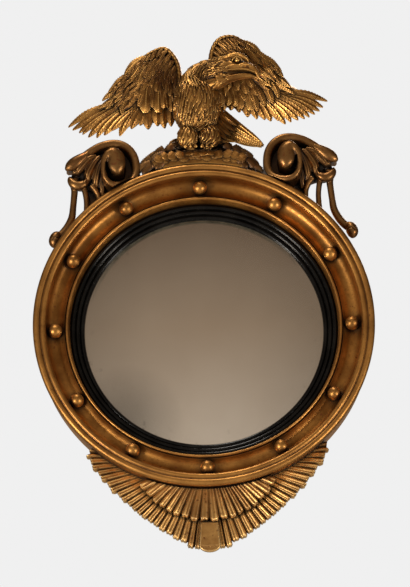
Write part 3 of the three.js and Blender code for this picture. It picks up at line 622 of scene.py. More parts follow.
def limb(stations, steps=60, around=48, relief=None):
    """stations are (right, up, depth, half width, half thickness). relief(along, round) gives the mm to add to
    the skin at so many mm along the limb and round from its front."""
    row = smooth(stations, steps)
    centre = row[:, :3]
    way = unit(np.gradient(centre, axis=0))
    side = unit(np.cross(way, TO_THE_ROOM))
    out = np.cross(side, way)
    angle = full_turn(around)
    wide, deep = np.maximum(row[:, 3], 0.05)[:, None], np.maximum(row[:, 4], 0.05)[:, None]
    add = 0.0
    if relief is not None:
        travel = np.concatenate([[0], np.cumsum(np.linalg.norm(np.diff(centre, axis=0), axis=1))])
        size = (wide + deep) / 2
        add = relief(travel[:, None] + 0 * angle[None, :], (angle - math.pi)[None, :] * size)
    x = (wide + add) * np.cos(angle)[None, :]
    y = (deep + add) * np.sin(angle)[None, :]
    ring = centre[:, None, :] + side[:, None, :] * x[..., None] - out[:, None, :] * y[..., None]
    return skin(place(ring[..., 0], ring[..., 1], ring[..., 2]))


# %% Feathers and leaves
def blade(root, tip, width, lift, arch, quill, barb, pitch, blunt, steps, ridge, bend=0.0, start=0.6,
          across=13, ragged=0.0, close_from=0.72, wave=0.0, phase=0.0, slant=1.2):
    """One feather or leaf lobe. root and tip are (right, up, depth of the face). lift raises the tip, arch and
    ridge give its dome across, bend and wave sway it. quill is the height of the midrib and barb that of the
    barbs, cut every pitch mm at a slant; ragged lets them nick the edge. start and blunt say how wide the two
    ends are, and beyond close_from the blade narrows."""
    thick, shoulder = 1.8, 0.55
    root, tip = np.asarray(root, float), np.asarray(tip, float)
    t = np.linspace(0, 1, steps)
    length = np.linalg.norm(tip[:2] - root[:2])
    way = (tip[:2] - root[:2]) / max(length, 1e-6)
    cross = np.array([-way[1], way[0]])
    line = root[None] + (tip - root)[None] * t[:, None]
    line[:, :2] += cross * (bend * length * 4 * t * (1 - t) + wave * np.sin(7 * t + phase) * t)[:, None]
    line[:, 2] += lift * np.sin(t * math.pi / 2) ** 2
    way2 = unit(np.gradient(line[:, :2], axis=0))
    cross2 = np.stack([-way2[:, 1], way2[:, 0]], -1)
    swell = start + (1 - start) * np.sin(np.clip(t / shoulder, 0, 1) * math.pi / 2)
    close = np.clip((t - close_from) / (1 - close_from), 0, 1)
    close = np.sqrt(np.clip(1 - close**2.4 * (1 - blunt**2), 0, 1)) * (1 - (1 - blunt) * 0.5 * close)
    half = (width / 2 * swell * close)[:, None]
    s = np.linspace(-1, 1, across)[None, :]
    cuts = np.sin(2 * math.pi * (t[:, None] * length / pitch - slant * np.abs(s) * half / pitch) + phase)
    reach = 1 + ragged * cuts * np.abs(s) ** 3
    rise = arch * half * (1 - np.abs(s) ** ridge)
    rise = rise + quill * np.exp(-((s / 0.14) ** 2)) * (1 - 0.5 * t[:, None])
    rise = rise + barb * 0.5 * cuts * (1 - 0.6 * s**4) * np.clip(np.abs(s) * 5, 0, 1)
    depth = line[:, 2, None] + rise
    top = np.stack([line[:, 0, None] + cross2[:, 0, None] * s * half * reach,
                    line[:, 1, None] + cross2[:, 1, None] * s * half * reach, depth], -1)
    u = np.linspace(0.88, -0.88, 5)[None, :]
    under = np.stack([line[:, 0, None] + cross2[:, 0, None] * u * half,
                      line[:, 1, None] + cross2[:, 1, None] * u * half,
                      line[:, 2, None] - thick + 0 * u], -1)
    ring = np.concatenate([top, under], axis=1)
    return skin(place(ring[..., 0], ring[..., 1], ring[..., 2]))


# %% Plumage
def plumage(along, round_, length, width, depth, seed, ragged=0.25, pitch=0.5, barbs=0.0):
    """Relief in mm of overlapping pointed feathers, their tips pointing along. pitch is the step from one row
    to the next as a share of a feather's length, and ragged says how much shorter some feathers are."""
    pitch = length * pitch
    height = np.zeros_like(along)
    row_here = np.floor(along / pitch)
    for back in (0, 1, 2):
        row = row_here - back
        shift = 0.5 * (row % 2) + 0.2 * np.sin(row * 7.3 + seed)
        sway = 0.22 * np.sin(along / length * 3.1 + round_ / width * 0.9 + seed)
        column = np.round(round_ / width - shift - sway)
        a = round_ / width - shift - sway - column
        chance = np.sin(row * 12.9898 + column * 78.233 + seed) * 43758.5453
        chance = chance - np.floor(chance)
        b = (along - row * pitch) / (length * (1 - ragged * chance))
        a = a + 0.16 * np.sin(b * 3 + chance * 6)
        inside = (b > 0) & (b < 1) & (np.abs(a) < 0.6 * (1 - np.clip(b, 0, 1) ** 2.2))
        face = 0.2 + 0.8 * b - 1.5 * a**2 + 0.2 * np.exp(-((a / 0.08) ** 2))
        face = face + barbs * np.sin(b * length / 1.1 - np.abs(a) * 14) * np.clip(np.abs(a) * 6, 0, 1)
        height = np.where(inside, face, height)
    return (height - 0.5) * depth


# %% Blend several forms into one carved skin
def sculpted(shapes, grain):
    """Melts overlapping forms together, as a carver works one block. grain is the size of a facet in mm."""
    points, faces = together(shapes)
    made = bpy.data.objects.new("melt", bpy.data.meshes.new("melt"))
    made.data.from_pydata(points.tolist(), [], faces)
    bpy.context.scene.collection.objects.link(made)
    melt = made.modifiers.new("melt", "REMESH")
    melt.mode, melt.voxel_size = "VOXEL", grain / 1000
    soften = made.modifiers.new("soften", "SMOOTH")
    soften.factor, soften.iterations = 0.5, 2
    shape = read_back(made)
    bpy.data.objects.remove(made)
    return shape


# %% Press a hollow or a ridge into the front of a shape
def pressed(shape, deeper):
    """deeper(right, up, depth) says by how many mm each point of the shape moves towards the viewer."""
    points, faces = shape
    moved = points.copy()
    moved[:, 1] -= deeper(1000 * points[:, 0], 1000 * points[:, 2], -1000 * points[:, 1]) / 1000
    return moved, faces


def near_line(x, z, line):
    """How far each point is from a line, and how far along the line (0 to 1) its nearest spot is."""
    best, where = np.full(np.shape(x), 1e9), np.zeros(np.shape(x))
    line = np.asarray(line, float)
    for k, ((ax, az), (bx, bz)) in enumerate(zip(line[:-1], line[1:])):
        ex, ez = bx - ax, bz - az
        t = np.clip(((x - ax) * ex + (z - az) * ez) / max(ex * ex + ez * ez, 1e-9), 0, 1)
        gap = np.hypot(x - ax - t * ex, z - az - t * ez)
        nearer = gap < best
        best, where = np.where(nearer, gap, best), np.where(nearer, (k + t) / (len(line) - 1), where)
    return best, where


# %% [markdown]
# ## Plinth and rock
#
# A smooth curved band sits on the frame and carries the rock. It is one of the brightest parts of the crest,
# because it faces the light, and two rows of small leaves hang over it. The rock behind is a heap of craggy
# lumps, in a gilding made darker to paint in shade. Other leaves cover the ends of the band and climb the rock.

# %% Plinth band
BAND_TOP = 298.3  # radius of the band's upper face
BEAD_CLEAR, SIDE_CLEAR = 280.4, 275.5  # radii that clear the frame, in front of and behind this depth:
BEAD_FROM = 45
CREST_BACK = 22.5  # depth of the batten's face, where the crest is planed flat


def plinth():
    angle = np.radians(np.linspace(-14.3, 14.3, 120))[:, None]
    section = softened([
        [268.4, 22.6], [268.4, 50.0], [277.0, 60.5], [280.6, 61.6], [296.2, 61.6], [297.9, 60.4],
        [BAND_TOP, 57.0], [BAND_TOP, 22.6],
    ], 1.2)
    clear = np.array([max(r, BEAD_CLEAR if d > BEAD_FROM else SIDE_CLEAR) for r, d in section])
    radius, depth = clear[None, :], section[None, :, 1]
    return skin(place(radius * np.sin(angle), radius * np.cos(angle), depth))


# What all small leaves share. A quill below 0 is a groove.
LEAF = dict(lift=1.6, quill=-0.5, barb=0.5, pitch=2.6, blunt=0.08, start=0.8, ragged=0.16, ridge=1.4, steps=26)


def hanging_leaves():
    """Two rows of small leaves hang over the band."""
    leaves = []
    for row, (count, drop, depth) in enumerate([(11, 13.0, 62.4), (12, 7.0, 64.0)]):
        for k, x in enumerate(np.linspace(-64, 66, count)):
            top = math.sqrt(BAND_TOP**2 - x**2)
            lean = 0.12 * x + 4 * math.sin(5 * k + row)
            reach = drop + 2.6 * math.sin(2.3 * k + 1 + row)
            leaves.append(blade((x, top + 4, depth - 1), (x + lean, top - reach, depth - 1.4),
                                17 + 3 * math.sin(3.1 * k), arch=0.2, **LEAF))
    return leaves


piece("plinth", together([plinth()] + hanging_leaves()), carved_gold, ["plinth_band"], sharp=45)


# %% Rock
def crags(sweep, v, amounts):
    """Sharp lumps, each size finer than the last."""
    total = -0.5 * sum(amounts) + 0 * sweep
    for k, amount in enumerate(amounts):
        f, g = (5, 9, 17, 31)[k], (0.11, 0.19, 0.33, 0.5)[k]
        wave = np.sin(f * sweep + g * v + 1.7 * k) * np.cos(0.7 * f * sweep - g * 1.3 * v + k)
        total = total + amount * np.abs(wave)
    return total


def heap(levels, rows, columns, stretch, amounts, bulge, squareness):
    """A craggy half round heap from levels of (height above the rim, half width, front)."""
    levels = smooth(levels, rows)
    sweep = np.linspace(0, math.pi, columns)[None, :]
    v, wide, front = levels[:, 0, None], levels[:, 1, None], levels[:, 2, None]
    lumps = crags(sweep, stretch * v, amounts)
    x = (wide + lumps) * np.cos(sweep)
    depth = CREST_BACK + np.maximum((front - CREST_BACK + bulge * lumps) * np.sin(sweep) ** squareness, 0)
    foot = np.sqrt(np.maximum(np.where(depth > BEAD_FROM, BEAD_CLEAR, SIDE_CLEAR + 0.5) ** 2 - x**2, 0))
    return skin(place(x, np.maximum(RIM + v, foot), depth))


rock = heap([
    [-13, 92, 55], [-4, 93, 58], [4, 89, 58], [15, 82, 55], [24, 72, 50], [32, 63, 48], [42, 54, 45],
    [51, 46, 41], [57, 38, 36], [59, 24, 31],
], 90, 190, 1, (3.4, 2.8, 2.0, 1.0), 1.4, 0.5)
ledge = heap([[18.9, 50, 61.0], [20.4, 54, 66.5], [22.4, 50, 67.0]], 16, 150, 6, (0, 1.2, 1.2, 0.8), 1.0, 0.4)


def creeping_leaves():
    """Leaves cover the ends of the band and climb the rock."""
    leaves = []
    for side in (-1, 1):
        for row, (reach, rise, size, depth) in enumerate([
            (62, 6, 15, 62), (58, 17, 15, 59), (50, 29, 14, 52),
        ]):
            for k in range(4):
                x = side * (reach + 8.5 * k - 2 * row + 2.5 * math.sin(4 * k + 2 * row))
                z = RIM + rise - 0.00175 * x * x + 4 + 3.5 * math.sin(3 * k + row + side)
                away = side * (9 + 2 * k + 4 * math.sin(5 * k + 3 * row))
                root = (x - 0.3 * away, z + 5, depth - 1.2 * k)
                tip = (x + away, z - 9 - 1.5 * k, depth - 2.5 * k - 2)
                leaves.append(blade(root, tip, size - 0.9 * k, arch=0.4, bend=0.08 * side, **LEAF))
    return leaves


rockwork = together([rock, ledge] + creeping_leaves())
piece("rockwork", rockwork, shaded_gold, ["rock"], sharp=60)


# %% [markdown]
# ## The eagle
#
# The eagle stands on the rock with its chest to the room, turns its head to the right and half opens its
# wings. The body is one limb from the tail end up to the neck, and long pointed feathers are pressed into it
# that run down the chest. The head is melted together from skull, brow, beak and throat, because no single
# section gives an eagle's profile.

# %% Body
def up(stations):
    """Stations whose second number is the height above the frame."""
    s = np.array(stations, float)
    s[:, 1] += RIM
    return s


body_line = up([
    [0, 55, 53, 17, 18], [0, 62, 53.5, 24, 25], [-1, 72, 55, 31, 30], [-2, 90, 57, 37, 34],
    [0, 112, 58, 37.5, 36], [2, 132, 58.5, 34.5, 33.5], [6.5, 146, 61, 28.5, 28],
    [15.5, 154.5, 67, 22, 21.5], [27, 158, 74, 18, 18], [36, 159, 79, 17, 17],
])
chest = limb(body_line[::-1], 260, 300, lambda along, round_: plumage(
    along, round_, 34, 6.6, 2.9, seed=3, ragged=0.45, pitch=0.34, barbs=0.07,
))
chest[0][:, 1] = np.minimum(chest[0][:, 1], -(CREST_BACK + 0.1) / 1000)
piece("eagle_chest", chest, carved_gold, ["eagle_body"], sharp=60)


# %% Head
EYE_X, EYE_UP = 66.6, 163.6


def ball(x, z, depth, size):
    """A small ball, as a limb that starts and ends thin."""
    stations = [(-1, 0.3 / size), (-0.75, 0.66), (0, 1), (0.75, 0.66), (1, 0.3 / size)]
    return limb([[x + share * size, z, depth, swell * size, swell * size] for share, swell in stations], 24, 24)


head_forms = {
    "skull": [[22, 157, 76, 16, 16], [33, 157.5, 80, 18.5, 18.5], [45, 157, 85, 18.5, 19],
              [57, 157, 89, 17, 17], [68, 155.5, 91.5, 14, 14], [76, 153, 92.5, 11, 10.5],
              [82, 151, 93, 8, 7]],
    "upper beak": [[62, 152, 91, 10.5, 11], [72, 153.5, 93, 11, 9.5], [82, 152.5, 94.2, 10, 7.8],
                   [90, 150, 95, 8.2, 6.2], [96, 145.8, 95.4, 6, 4.8], [99.6, 140.5, 95.4, 3.9, 3.5],
                   [100.2, 135.5, 95.2, 2.4, 2.3], [98.8, 131.8, 95, 1.1, 1.1]],
    "throat": [[10, 129, 70, 12, 14], [20, 130.5, 75, 11, 13], [29, 131.5, 80, 10, 12.5],
               [39, 133, 85.5, 8.6, 11.5], [50, 135.4, 90, 7, 9.6], [61, 137.2, 93, 6.2, 8],
               [72, 138.6, 94.6, 5.5, 6.6], [82, 138.8, 95, 4.8, 5.4], [90, 137.8, 95.2, 3.7, 4.2],
               [96, 135.4, 95.2, 2.3, 2.6], [97.6, 134, 95.2, 1, 1]],
    "jaw": [[34, 136, 86, 9, 12], [44, 141, 89, 8, 11], [56, 144.5, 92, 5, 8], [68, 146.5, 94, 3.2, 6]],
    "brow": [[27, 160, 90, 3, 3], [37, 166.5, 97, 3.4, 3.6], [48, 170, 101, 3.8, 4],
             [58, 171.6, 104, 4.2, 4.4], [68, 172, 105.5, 4.2, 4.4], [76, 169.5, 105, 3.8, 4],
             [82, 165.5, 102.5, 3, 3.2], [85, 161, 99.5, 1.6, 2]],
    "cheek": [[34, 152, 95, 3, 4], [46, 153, 100.4, 3.6, 3.6], [58, 153, 103, 3.6, 3.6],
              [70, 154, 102.8, 3.4, 3.4], [80, 156.5, 101.5, 3.4, 3.6], [88, 155, 99.5, 2.6, 3],
              [95, 150.5, 98.4, 1.6, 2]],
    "lip": [[50, 148, 100, 2.6, 3], [62, 148.4, 101.6, 2.8, 3], [74, 148.6, 101.2, 2.6, 3],
            [85, 147, 100, 2.2, 2.6], [94, 143.5, 98.8, 1.6, 2]],
}
head = sculpted([limb(up(line), 70, 44) for line in head_forms.values()], 0.7)


def feathered(shape):
    """Presses fine plumage into the back of the head, pushing points away from the head's middle line."""
    points, faces = shape
    mm = points * 1000
    x, depth, z = mm[:, 0], -mm[:, 1], mm[:, 2]
    centre = np.stack([x, np.interp(x, [20, 45, 70, 90], [78, 85, 91.5, 94]),
                       np.interp(x, [20, 45, 70, 90, 99], [437, 438.5, 433, 425, 415])], -1)
    away = unit(np.stack([0 * x, depth - centre[:, 1], z - centre[:, 2]], -1))
    turn = np.arctan2(away[:, 1], away[:, 2])
    fade_before_the_face = np.clip((np.where(z > 424, 60, 56) - x) / 12, 0, 1)
    relief = fade_before_the_face * plumage(100 - x, turn * 18, 19, 5.2, 2.4, seed=5, ragged=0.4, pitch=0.4)
    mm[:, 1] -= away[:, 1] * relief
    mm[:, 2] += away[:, 2] * relief
    return mm / 1000, faces


def face_lines(x, z, depth):
    """The line between the halves of the beak, the fold behind the brow, the nostril and the eye's socket."""
    front = np.clip((depth - 92) / 4, 0, 1)
    mouth, _ = near_line(x, z, up([[44, 143.5], [60, 144.4], [76, 144.8], [88, 143], [95, 139.5]])[:, :2])
    fold, _ = near_line(x, z, up([[30, 155], [42, 162], [54, 163.5], [60, 163]])[:, :2])
    nostril, _ = near_line(x, z, up([[82, 152.4], [86.5, 151]])[:, :2])
    socket = np.hypot(x - EYE_X, z - RIM - EYE_UP) / 7.4
    return -front * (2.6 * np.exp(-((mouth / 1.5) ** 2)) + 1.8 * np.exp(-((fold / 1.7) ** 2))
                     + 1.4 * np.exp(-((nostril / 1.1) ** 2)) + 3.4 * np.exp(-(socket**4)))


head = feathered(pressed(head, face_lines))
piece("eagle_skull", head, carved_gold, ["eagle_head"], sharp=70)
eye = ball(EYE_X, RIM + EYE_UP, 103.0, 4.6)
lid = limb(up([[58, 161.5, 103, 0.6, 0.6], [60, 165.6, 104.6, 1.3, 1.3], [66, 169, 106.4, 1.6, 1.5],
               [72.4, 166.6, 105, 1.3, 1.3], [75.6, 162, 103.4, 0.6, 0.6]]), 50, 14)
piece("eagle_eye", together([eye, lid]), carved_gold)


# %% [markdown]
# Each leg is a tuft of thigh feathers over a foot. The toes clasp the edge of the rock. Most of this sits in
# shadow, but from below one looks straight at it.

# %% Legs
def leg(side):
    thigh = limb(up([[13 * side, 66, 60, 8, 9], [15 * side, 59, 61, 14, 14], [17 * side, 49, 63, 17.5, 16],
                     [17 * side, 40, 64.5, 17, 15.5], [15 * side, 31, 64, 12, 12], [14 * side, 26, 63.5, 7, 8],
                     [14 * side, 23.2, 63, 5.6, 6]]),
                 90, 110, lambda along, round_: plumage(along, round_, 20, 7, 2.4, seed=side))
    toes = []
    for spread in (-9, 0, 9):
        x = 13.5 * side
        toe = limb(up([[x + 0.2 * spread, 27.5, 62, 3.4, 3.4], [x + 0.6 * spread, 28.5, 68, 3.6, 3.8],
                       [x + 0.85 * spread, 26.6, 73, 2.9, 3.0], [x + spread, 24.6, 75.5, 2.2, 2.1],
                       [x + 1.04 * spread, 23.6, 76.8, 1.0, 1.0]]), 30, 24,
                   lambda along, round_: 0.35 * np.abs(np.sin(along * 1.1)))
        toes.append(toe)
    return together([thigh] + toes)


for name, side in (("left", -1), ("right", 1)):
    piece(f"eagle_thigh_{name}", leg(side), carved_gold, [f"eagle_leg_{name}"], sharp=60)


# %% [markdown]
# The tail points down to the right as a narrow wedge of long feathers, with shorter coverts over its root.

# %% Tail
def tail():
    feathers = []
    for x, z, tip_x, tip_z, width, depth in [
        (24, 66, 96, 36, 10, 36), (28, 74, 103, 34, 10, 37.5), (32, 82, 106, 35, 10, 39),
        (37, 90, 107, 36.5, 10, 40.5), (43, 98, 105, 39, 9, 42), (42, 84, 88, 49, 8, 43),
    ]:
        root, tip = (x, RIM + z, depth), (tip_x, RIM + tip_z, depth)
        feathers.append(blade(root, tip, width, lift=1.2, bend=-0.02, arch=0.3, quill=0.9, barb=0.45, pitch=4.5,
                              blunt=0.1, steps=90, ragged=0.04, ridge=1.3))
    for k, (x, z, tip_x, tip_z) in enumerate([
        (16, 78, 38, 42), (20, 84, 46, 46), (24, 90, 54, 52), (28, 96, 60, 60), (32, 102, 64, 70), (14, 66, 30, 36),
        (18, 72, 38, 38), (24, 80, 47, 54), (28, 90, 54, 66), (12, 62, 50, 42), (16, 66, 60, 43),
    ]):
        root, tip = (x, RIM + z, 52 - 0.6 * k), (tip_x, RIM + tip_z, 47 - 0.5 * k)
        feathers.append(blade(root, tip, 9.5, lift=2.5, bend=-0.06, arch=0.4, quill=0.8, barb=0.6, pitch=3.2,
                              blunt=0.15, steps=50, ridge=1.3))
    return together(feathers)


piece("eagle_tail_feathers", tail(), carved_gold, ["eagle_tail"], sharp=60)


# %% [markdown]
# ## Wings
#
# A carver lays a wing out in rows: long flight feathers at the back, two rows of coverts over them, and small
# scale-like feathers up to the thick leading edge. The rows below follow the real ones. Each feather is
# (root right, root up, tip right, tip up, width), measured away from the body and above the frame. The small
# ones near the edge aren't listed: they are sown over that area and take their direction from the nearest
# long feathers, as if combed.

# %% Feather rows
left_wing = {
    "side": -1,
    "edge": [[31, 132], [29, 160], [34, 188], [51, 209], [74, 203], [93, 189], [110, 171], [124, 154],
             [138, 136]],
    "flight": [
        [134, 117, 213, 82.5, 12.5], [131, 114, 206, 76, 13.5], [128, 113, 197, 71, 15],
        [123, 114, 190, 66, 14], [119, 111, 182, 62, 16], [111, 114, 168, 61, 18], [106, 110, 155, 66, 17],
        [103, 110, 143, 72, 16], [101, 110, 131, 63, 17], [98, 110, 120, 74, 17], [90, 112, 110, 74, 18],
        [82, 113, 96, 80, 18], [76, 113, 82, 73, 20], [62, 118, 67, 77, 20], [52, 119, 54, 73, 18],
        [42, 116, 43, 76, 16], [36, 118, 36, 86, 14],
    ],
    "coverts": [
        [114, 166, 147, 133, 14], [110, 150, 156, 119, 14], [106, 140, 162, 108, 14],
        [112, 143, 150, 106, 14], [105, 146, 136, 104, 14], [102, 146, 124, 97, 15],
        [93, 160, 108, 116, 15], [85, 165, 95, 110, 16], [78, 152, 84, 100, 18], [70, 150, 74, 106, 17],
        [60, 148, 64, 98, 19], [50, 146, 52, 104, 17], [42, 144, 42, 98, 16], [34, 142, 33, 104, 13],
    ],
    "small": [
        [84, 196, 118, 164, 13], [94, 184, 126, 150, 12], [80, 190, 108, 152, 14], [74, 186, 98, 144, 14],
        [66, 192, 84, 158, 14], [60, 190, 73, 160, 13], [52, 192, 61, 164, 13], [44, 188, 50, 162, 12],
        [37, 176, 39, 150, 11], [33, 160, 33, 132, 10],
    ],
}
right_wing = {
    "side": 1,
    "edge": [
        [24, 168], [25, 196], [33, 217], [46, 226.4], [63, 226.4], [80, 216], [103, 196], [120, 178],
        [133, 160],
    ],
    "flight": [
        [134, 128, 213, 113.5, 12.5], [134, 125, 206, 105, 13.5], [132, 123, 200, 96.5, 15],
        [130, 127, 192, 92, 14], [127, 123, 183, 87, 15], [122, 121, 174, 84, 15], [118, 120, 164, 82, 16],
        [112, 122, 154, 80, 16], [107, 122, 143, 77, 17], [101, 122, 132, 82, 17], [95, 122, 120, 82, 18],
        [88, 124, 108, 84, 18], [80, 127, 96, 86, 18], [72, 128, 82, 90, 19], [62, 126, 67, 98, 18],
        [52, 126, 54, 102, 16], [42, 128, 42, 102, 15], [33, 130, 32, 100, 13],
    ],
    "coverts": [
        [105, 192, 139, 162, 14], [108, 178, 142, 150, 13], [112, 164, 153, 134, 14],
        [106, 152, 160, 124, 14], [101, 166, 134, 118, 14], [98, 157, 124, 108, 15],
        [90, 150, 112, 104, 16], [82, 147, 98, 98, 17], [74, 147, 86, 100, 17], [64, 144, 72, 102, 17],
        [55, 142, 60, 106, 16], [45, 144, 47, 108, 15], [36, 146, 36, 108, 13],
    ],
    "small": [
        [78, 216, 108, 190, 13], [90, 204, 120, 170, 13], [74, 209, 104, 176, 14], [66, 206, 94, 164, 14],
        [56, 209, 82, 166, 15], [48, 208, 66, 174, 13], [40, 204, 54, 172, 13], [34, 196, 44, 166, 12],
        [30, 184, 36, 154, 11], [28, 170, 30, 140, 10],
    ],
}
print("listed feathers:", sum(len(w[r]) for w in (left_wing, right_wing) for r in ("flight", "coverts", "small")))


# %% Wing
WING_MIDDLE = np.array([75, 140])


def wing(spec, seed):
    side = spec["side"]
    fine_edge = smooth(spec["edge"], 60)

    def face(x, z):
        """Depth of the wing's modelled surface: thick at the leading edge, thin at the tips."""
        from_edge, _ = near_line(x, z, fine_edge)
        return 30.5 + 15.5 * np.exp(-((from_edge / 58) ** 2))

    chance = np.random.default_rng(seed)

    def feather(f, layer, jitter=1.0, **look):
        """f is (root right, root up, tip right, tip up, width). layer is how high it lies on the others."""
        x, z, tip_x, tip_z = np.array(f[:4]) + jitter * chance.uniform(-1.6, 1.6, 4)
        layer = layer + 0.5 * jitter * chance.uniform(-1, 1)
        root = (side * x, RIM + z, face(x, z) + layer - 1.8)
        tip = (side * tip_x, RIM + tip_z, face(tip_x, tip_z) + layer)
        sway = 0.05 * side + 0.05 * jitter * chance.uniform(-1, 1)
        return blade(root, tip, f[4] * (1 + 0.12 * jitter * chance.uniform(-1, 1)), bend=sway,
                     phase=chance.uniform(0, 6), ridge=1.25, wave=0.8, **look)

    feathers = []
    for f in spec["flight"]:
        feathers.append(feather(f, -1.5, 0.6, lift=1.6, quill=1.4, barb=0.6, pitch=6.0, arch=0.42, steps=90,
                                across=17, slant=2.2, blunt=0.14, ragged=0.07, close_from=0.58))
    for f in spec["coverts"]:
        near_body = f[0] < 80
        lift, blunt, close_from = (3.0, 0.5, 0.7) if near_body else (2.2, 0.12, 0.5)
        feathers.append(feather(f, 1.0, lift=lift, quill=0.9, barb=0.8, pitch=3.8, arch=0.42, steps=72,
                                across=19, blunt=blunt, ragged=0.1, close_from=close_from))
    for tier in range(4):
        for k in range(4):
            x, z = 40 + 13 * k + 6 * (tier % 2), 148 + 13 * tier - 4 * k
            scale = [x, z, x + 4 + 3 * k, z - 25, 19 - tier]
            feathers.append(feather(scale, 1.6 + 0.35 * tier, lift=1.5, quill=0.8, barb=0.6, pitch=3.8,
                                    arch=0.34, steps=60, across=19, blunt=0.22, ragged=0.05, close_from=0.45))
    for f in spec["small"]:
        feathers.append(feather(f, 2.6, lift=2.2, quill=0.9, barb=0.8, pitch=3.6, arch=0.42, steps=64,
                                across=17, blunt=0.12, ragged=0.12, close_from=0.5))
    listed = np.array(spec["flight"] + spec["coverts"] + spec["small"], float)
    mids = (listed[:, :2] + listed[:, 2:4]) / 2
    ways = unit(listed[:, 2:4] - listed[:, :2])
    for row in (4, 3, 2, 1, 0):
        for k in range(19):
            spot = fine_edge[3 * k + (row % 2)]
            near = np.argsort(np.hypot(*(mids - spot).T))[:4]
            way = unit(ways[near].mean(0))
            tangent = unit(fine_edge[min(3 * k + 4, 59)] - fine_edge[3 * k])
            way = unit(way + (0.35 - 0.08 * row) * tangent)
            inward = np.array([-tangent[1], tangent[0]])
            if np.dot(inward, WING_MIDDLE - spot) < 0:
                inward = -inward
            root = spot + inward * (3.5 + 8.0 * row + chance.uniform(-1.5, 1.5))
            tip = root + way * (22 + 3 * row + chance.uniform(-4, 4))
            feathers.append(feather([*root, *tip, 7.6 + row * 0.5], 4.2 - 0.45 * row, 0.8, lift=1.5, quill=0.7,
                                    barb=0.8, arch=0.45, steps=40, across=11, pitch=2.8, blunt=0.1,
                                    ragged=0.14, close_from=0.45))
    roll = limb([[side * x, RIM + z, 40.0 - 0.05 * i, 5.0 - 0.035 * i, 12.2 - 0.11 * i]
                 for i, (x, z) in enumerate(fine_edge)],
                120, 40, lambda along, round_: 0.3 * np.sin(along * 0.9 + 0.4 * round_))
    return together(feathers + [roll, wing_core(spec, face)])


def wing_core(spec, face):
    """The solid wood under the feathers, flat at the back."""
    side = spec["side"]
    hub = np.mean([f[:2] for f in spec["coverts"]], axis=0)
    rim = [list(p) for p in spec["edge"]] + [
        [f[0] * 0.26 + f[2] * 0.74, f[1] * 0.26 + f[3] * 0.74] for f in spec["flight"]
    ]
    rim = smooth(rim + [rim[0]], 160)[:-1]
    rings = []
    back = [(0.05, 27.0), (0.6, 27.0), (0.97, 27.4), (1.0, 28.6), (0.99, 30.0)]
    under_the_feathers = [(0.7, None), (0.35, None), (0.05, None)]
    for share, depth in back + under_the_feathers:
        flat = hub + (rim - hub) * share
        if depth is None:
            depth = face(flat[:, 0], flat[:, 1]) - 2.0
        rings.append(place(side * flat[:, 0], RIM + flat[:, 1], depth))
    return skin(np.array(rings))


piece("wing_left", wing(left_wing, 4), carved_gold, ["eagle_wing_left"], sharp=60)
piece("wing_right", wing(right_wing, 9), carved_gold, ["eagle_wing_right"], sharp=60)


# %% [markdown]
# ## Scrolls and acanthus
#
# On each shoulder a broad band stands on edge. It starts as a leaf tip, arches over, runs down to the frame
# and rolls up into a volute that rises towards the viewer, like a snail. Behind it an acanthus leaf spills
# outwards. Its stems are pierced, so that light shows between them, and end in a small bud on the rim.

# %% Set out a scroll
SEAT_X, SEAT_UP = RIM * math.sin(math.radians(30)), RIM * math.cos(math.radians(30))
scroll_sides = {"left": (-1, -3.5, -1.5), "right": (1, 3.5, 1.5)}  # sign, and shift of the real one out and up


def rim_point(side):
    """Turns (out, up) from the seat of a scroll on the rim into (right, up)."""
    sign, shift_u, shift_v = scroll_sides[side]
    return lambda u, v: (sign * (SEAT_X + u + shift_u), SEAT_UP + v + shift_v)


def off_rim(side, x, z):
    """The way back, from (right, up) to (out, up)."""
    sign, shift_u, shift_v = scroll_sides[side]
    return sign * x - SEAT_X - shift_u, z - SEAT_UP - shift_v


def rim_limb(side, stations, around):
    """A limb through stations of (out, up, depth, half width, half thickness)."""
    to = rim_point(side)
    return limb([[*to(u, v), *rest] for u, v, *rest in stations], 60, around)


def clear_of_rim(x, z, depth):
    """Keeps carved pieces out of the turned frame."""
    away = np.hypot(x, z)
    least = np.where(depth > 44, RIM + 0.3, np.where(depth > 30, 275.2, 272.4))
    grow = np.maximum(least / np.maximum(away, 1e-6), 1.0)
    return x * grow, z * grow


def seated(shape):
    """Trims a carved shape where it meets the turned frame."""
    points, faces = shape
    mm = 1000 * points
    mm[:, 0], mm[:, 2] = clear_of_rim(mm[:, 0], mm[:, 2], -mm[:, 1])
    return mm / 1000, faces


# %% The hood, the sunk ground and the volute
SCROLL_BACK = 14.4
hood_line = [  # (out, up, depth of the front, width)
    [80.5, 43, 44, 5], [76, 47, 46, 12], [68, 51.5, 48, 15], [59, 57, 50, 14.5], [48, 65, 52, 13.5],
    [37, 72.5, 53, 13], [25, 78.5, 53.5, 13], [9, 82.2, 54.5, 13], [-7, 80.6, 55.5, 13],
    [-20, 72.5, 56.5, 13], [-28.6, 60, 57.5, 13], [-32.6, 45, 59, 12.5], [-32.4, 28, 61, 12],
    [-26, 14, 64, 11], [-14, 6.6, 67, 10.4], [0, 4.6, 70, 10], [11, 7.6, 72, 9.5], [18, 16.5, 73.5, 9],
    [20.6, 30, 75, 9], [19.6, 45, 76, 9.5], [14, 56, 76.4, 10.5], [6, 61, 76.4, 11.5],
]
ground_outline = {
    "left": [[-36, 20], [-33, 50], [-24, 70], [-6, 80], [14, 82], [36, 72], [56, 56], [58, 30], [52, 10],
             [46, -10], [44, -30], [0, -30], [-36, -10]],
    "right": [[-36, 20], [-33, 50], [-24, 70], [-6, 80], [14, 82], [36, 72], [56, 56], [58, 32], [46, 18],
              [34, 14], [32, -6], [28, -30], [0, -30], [-36, -10]],
}


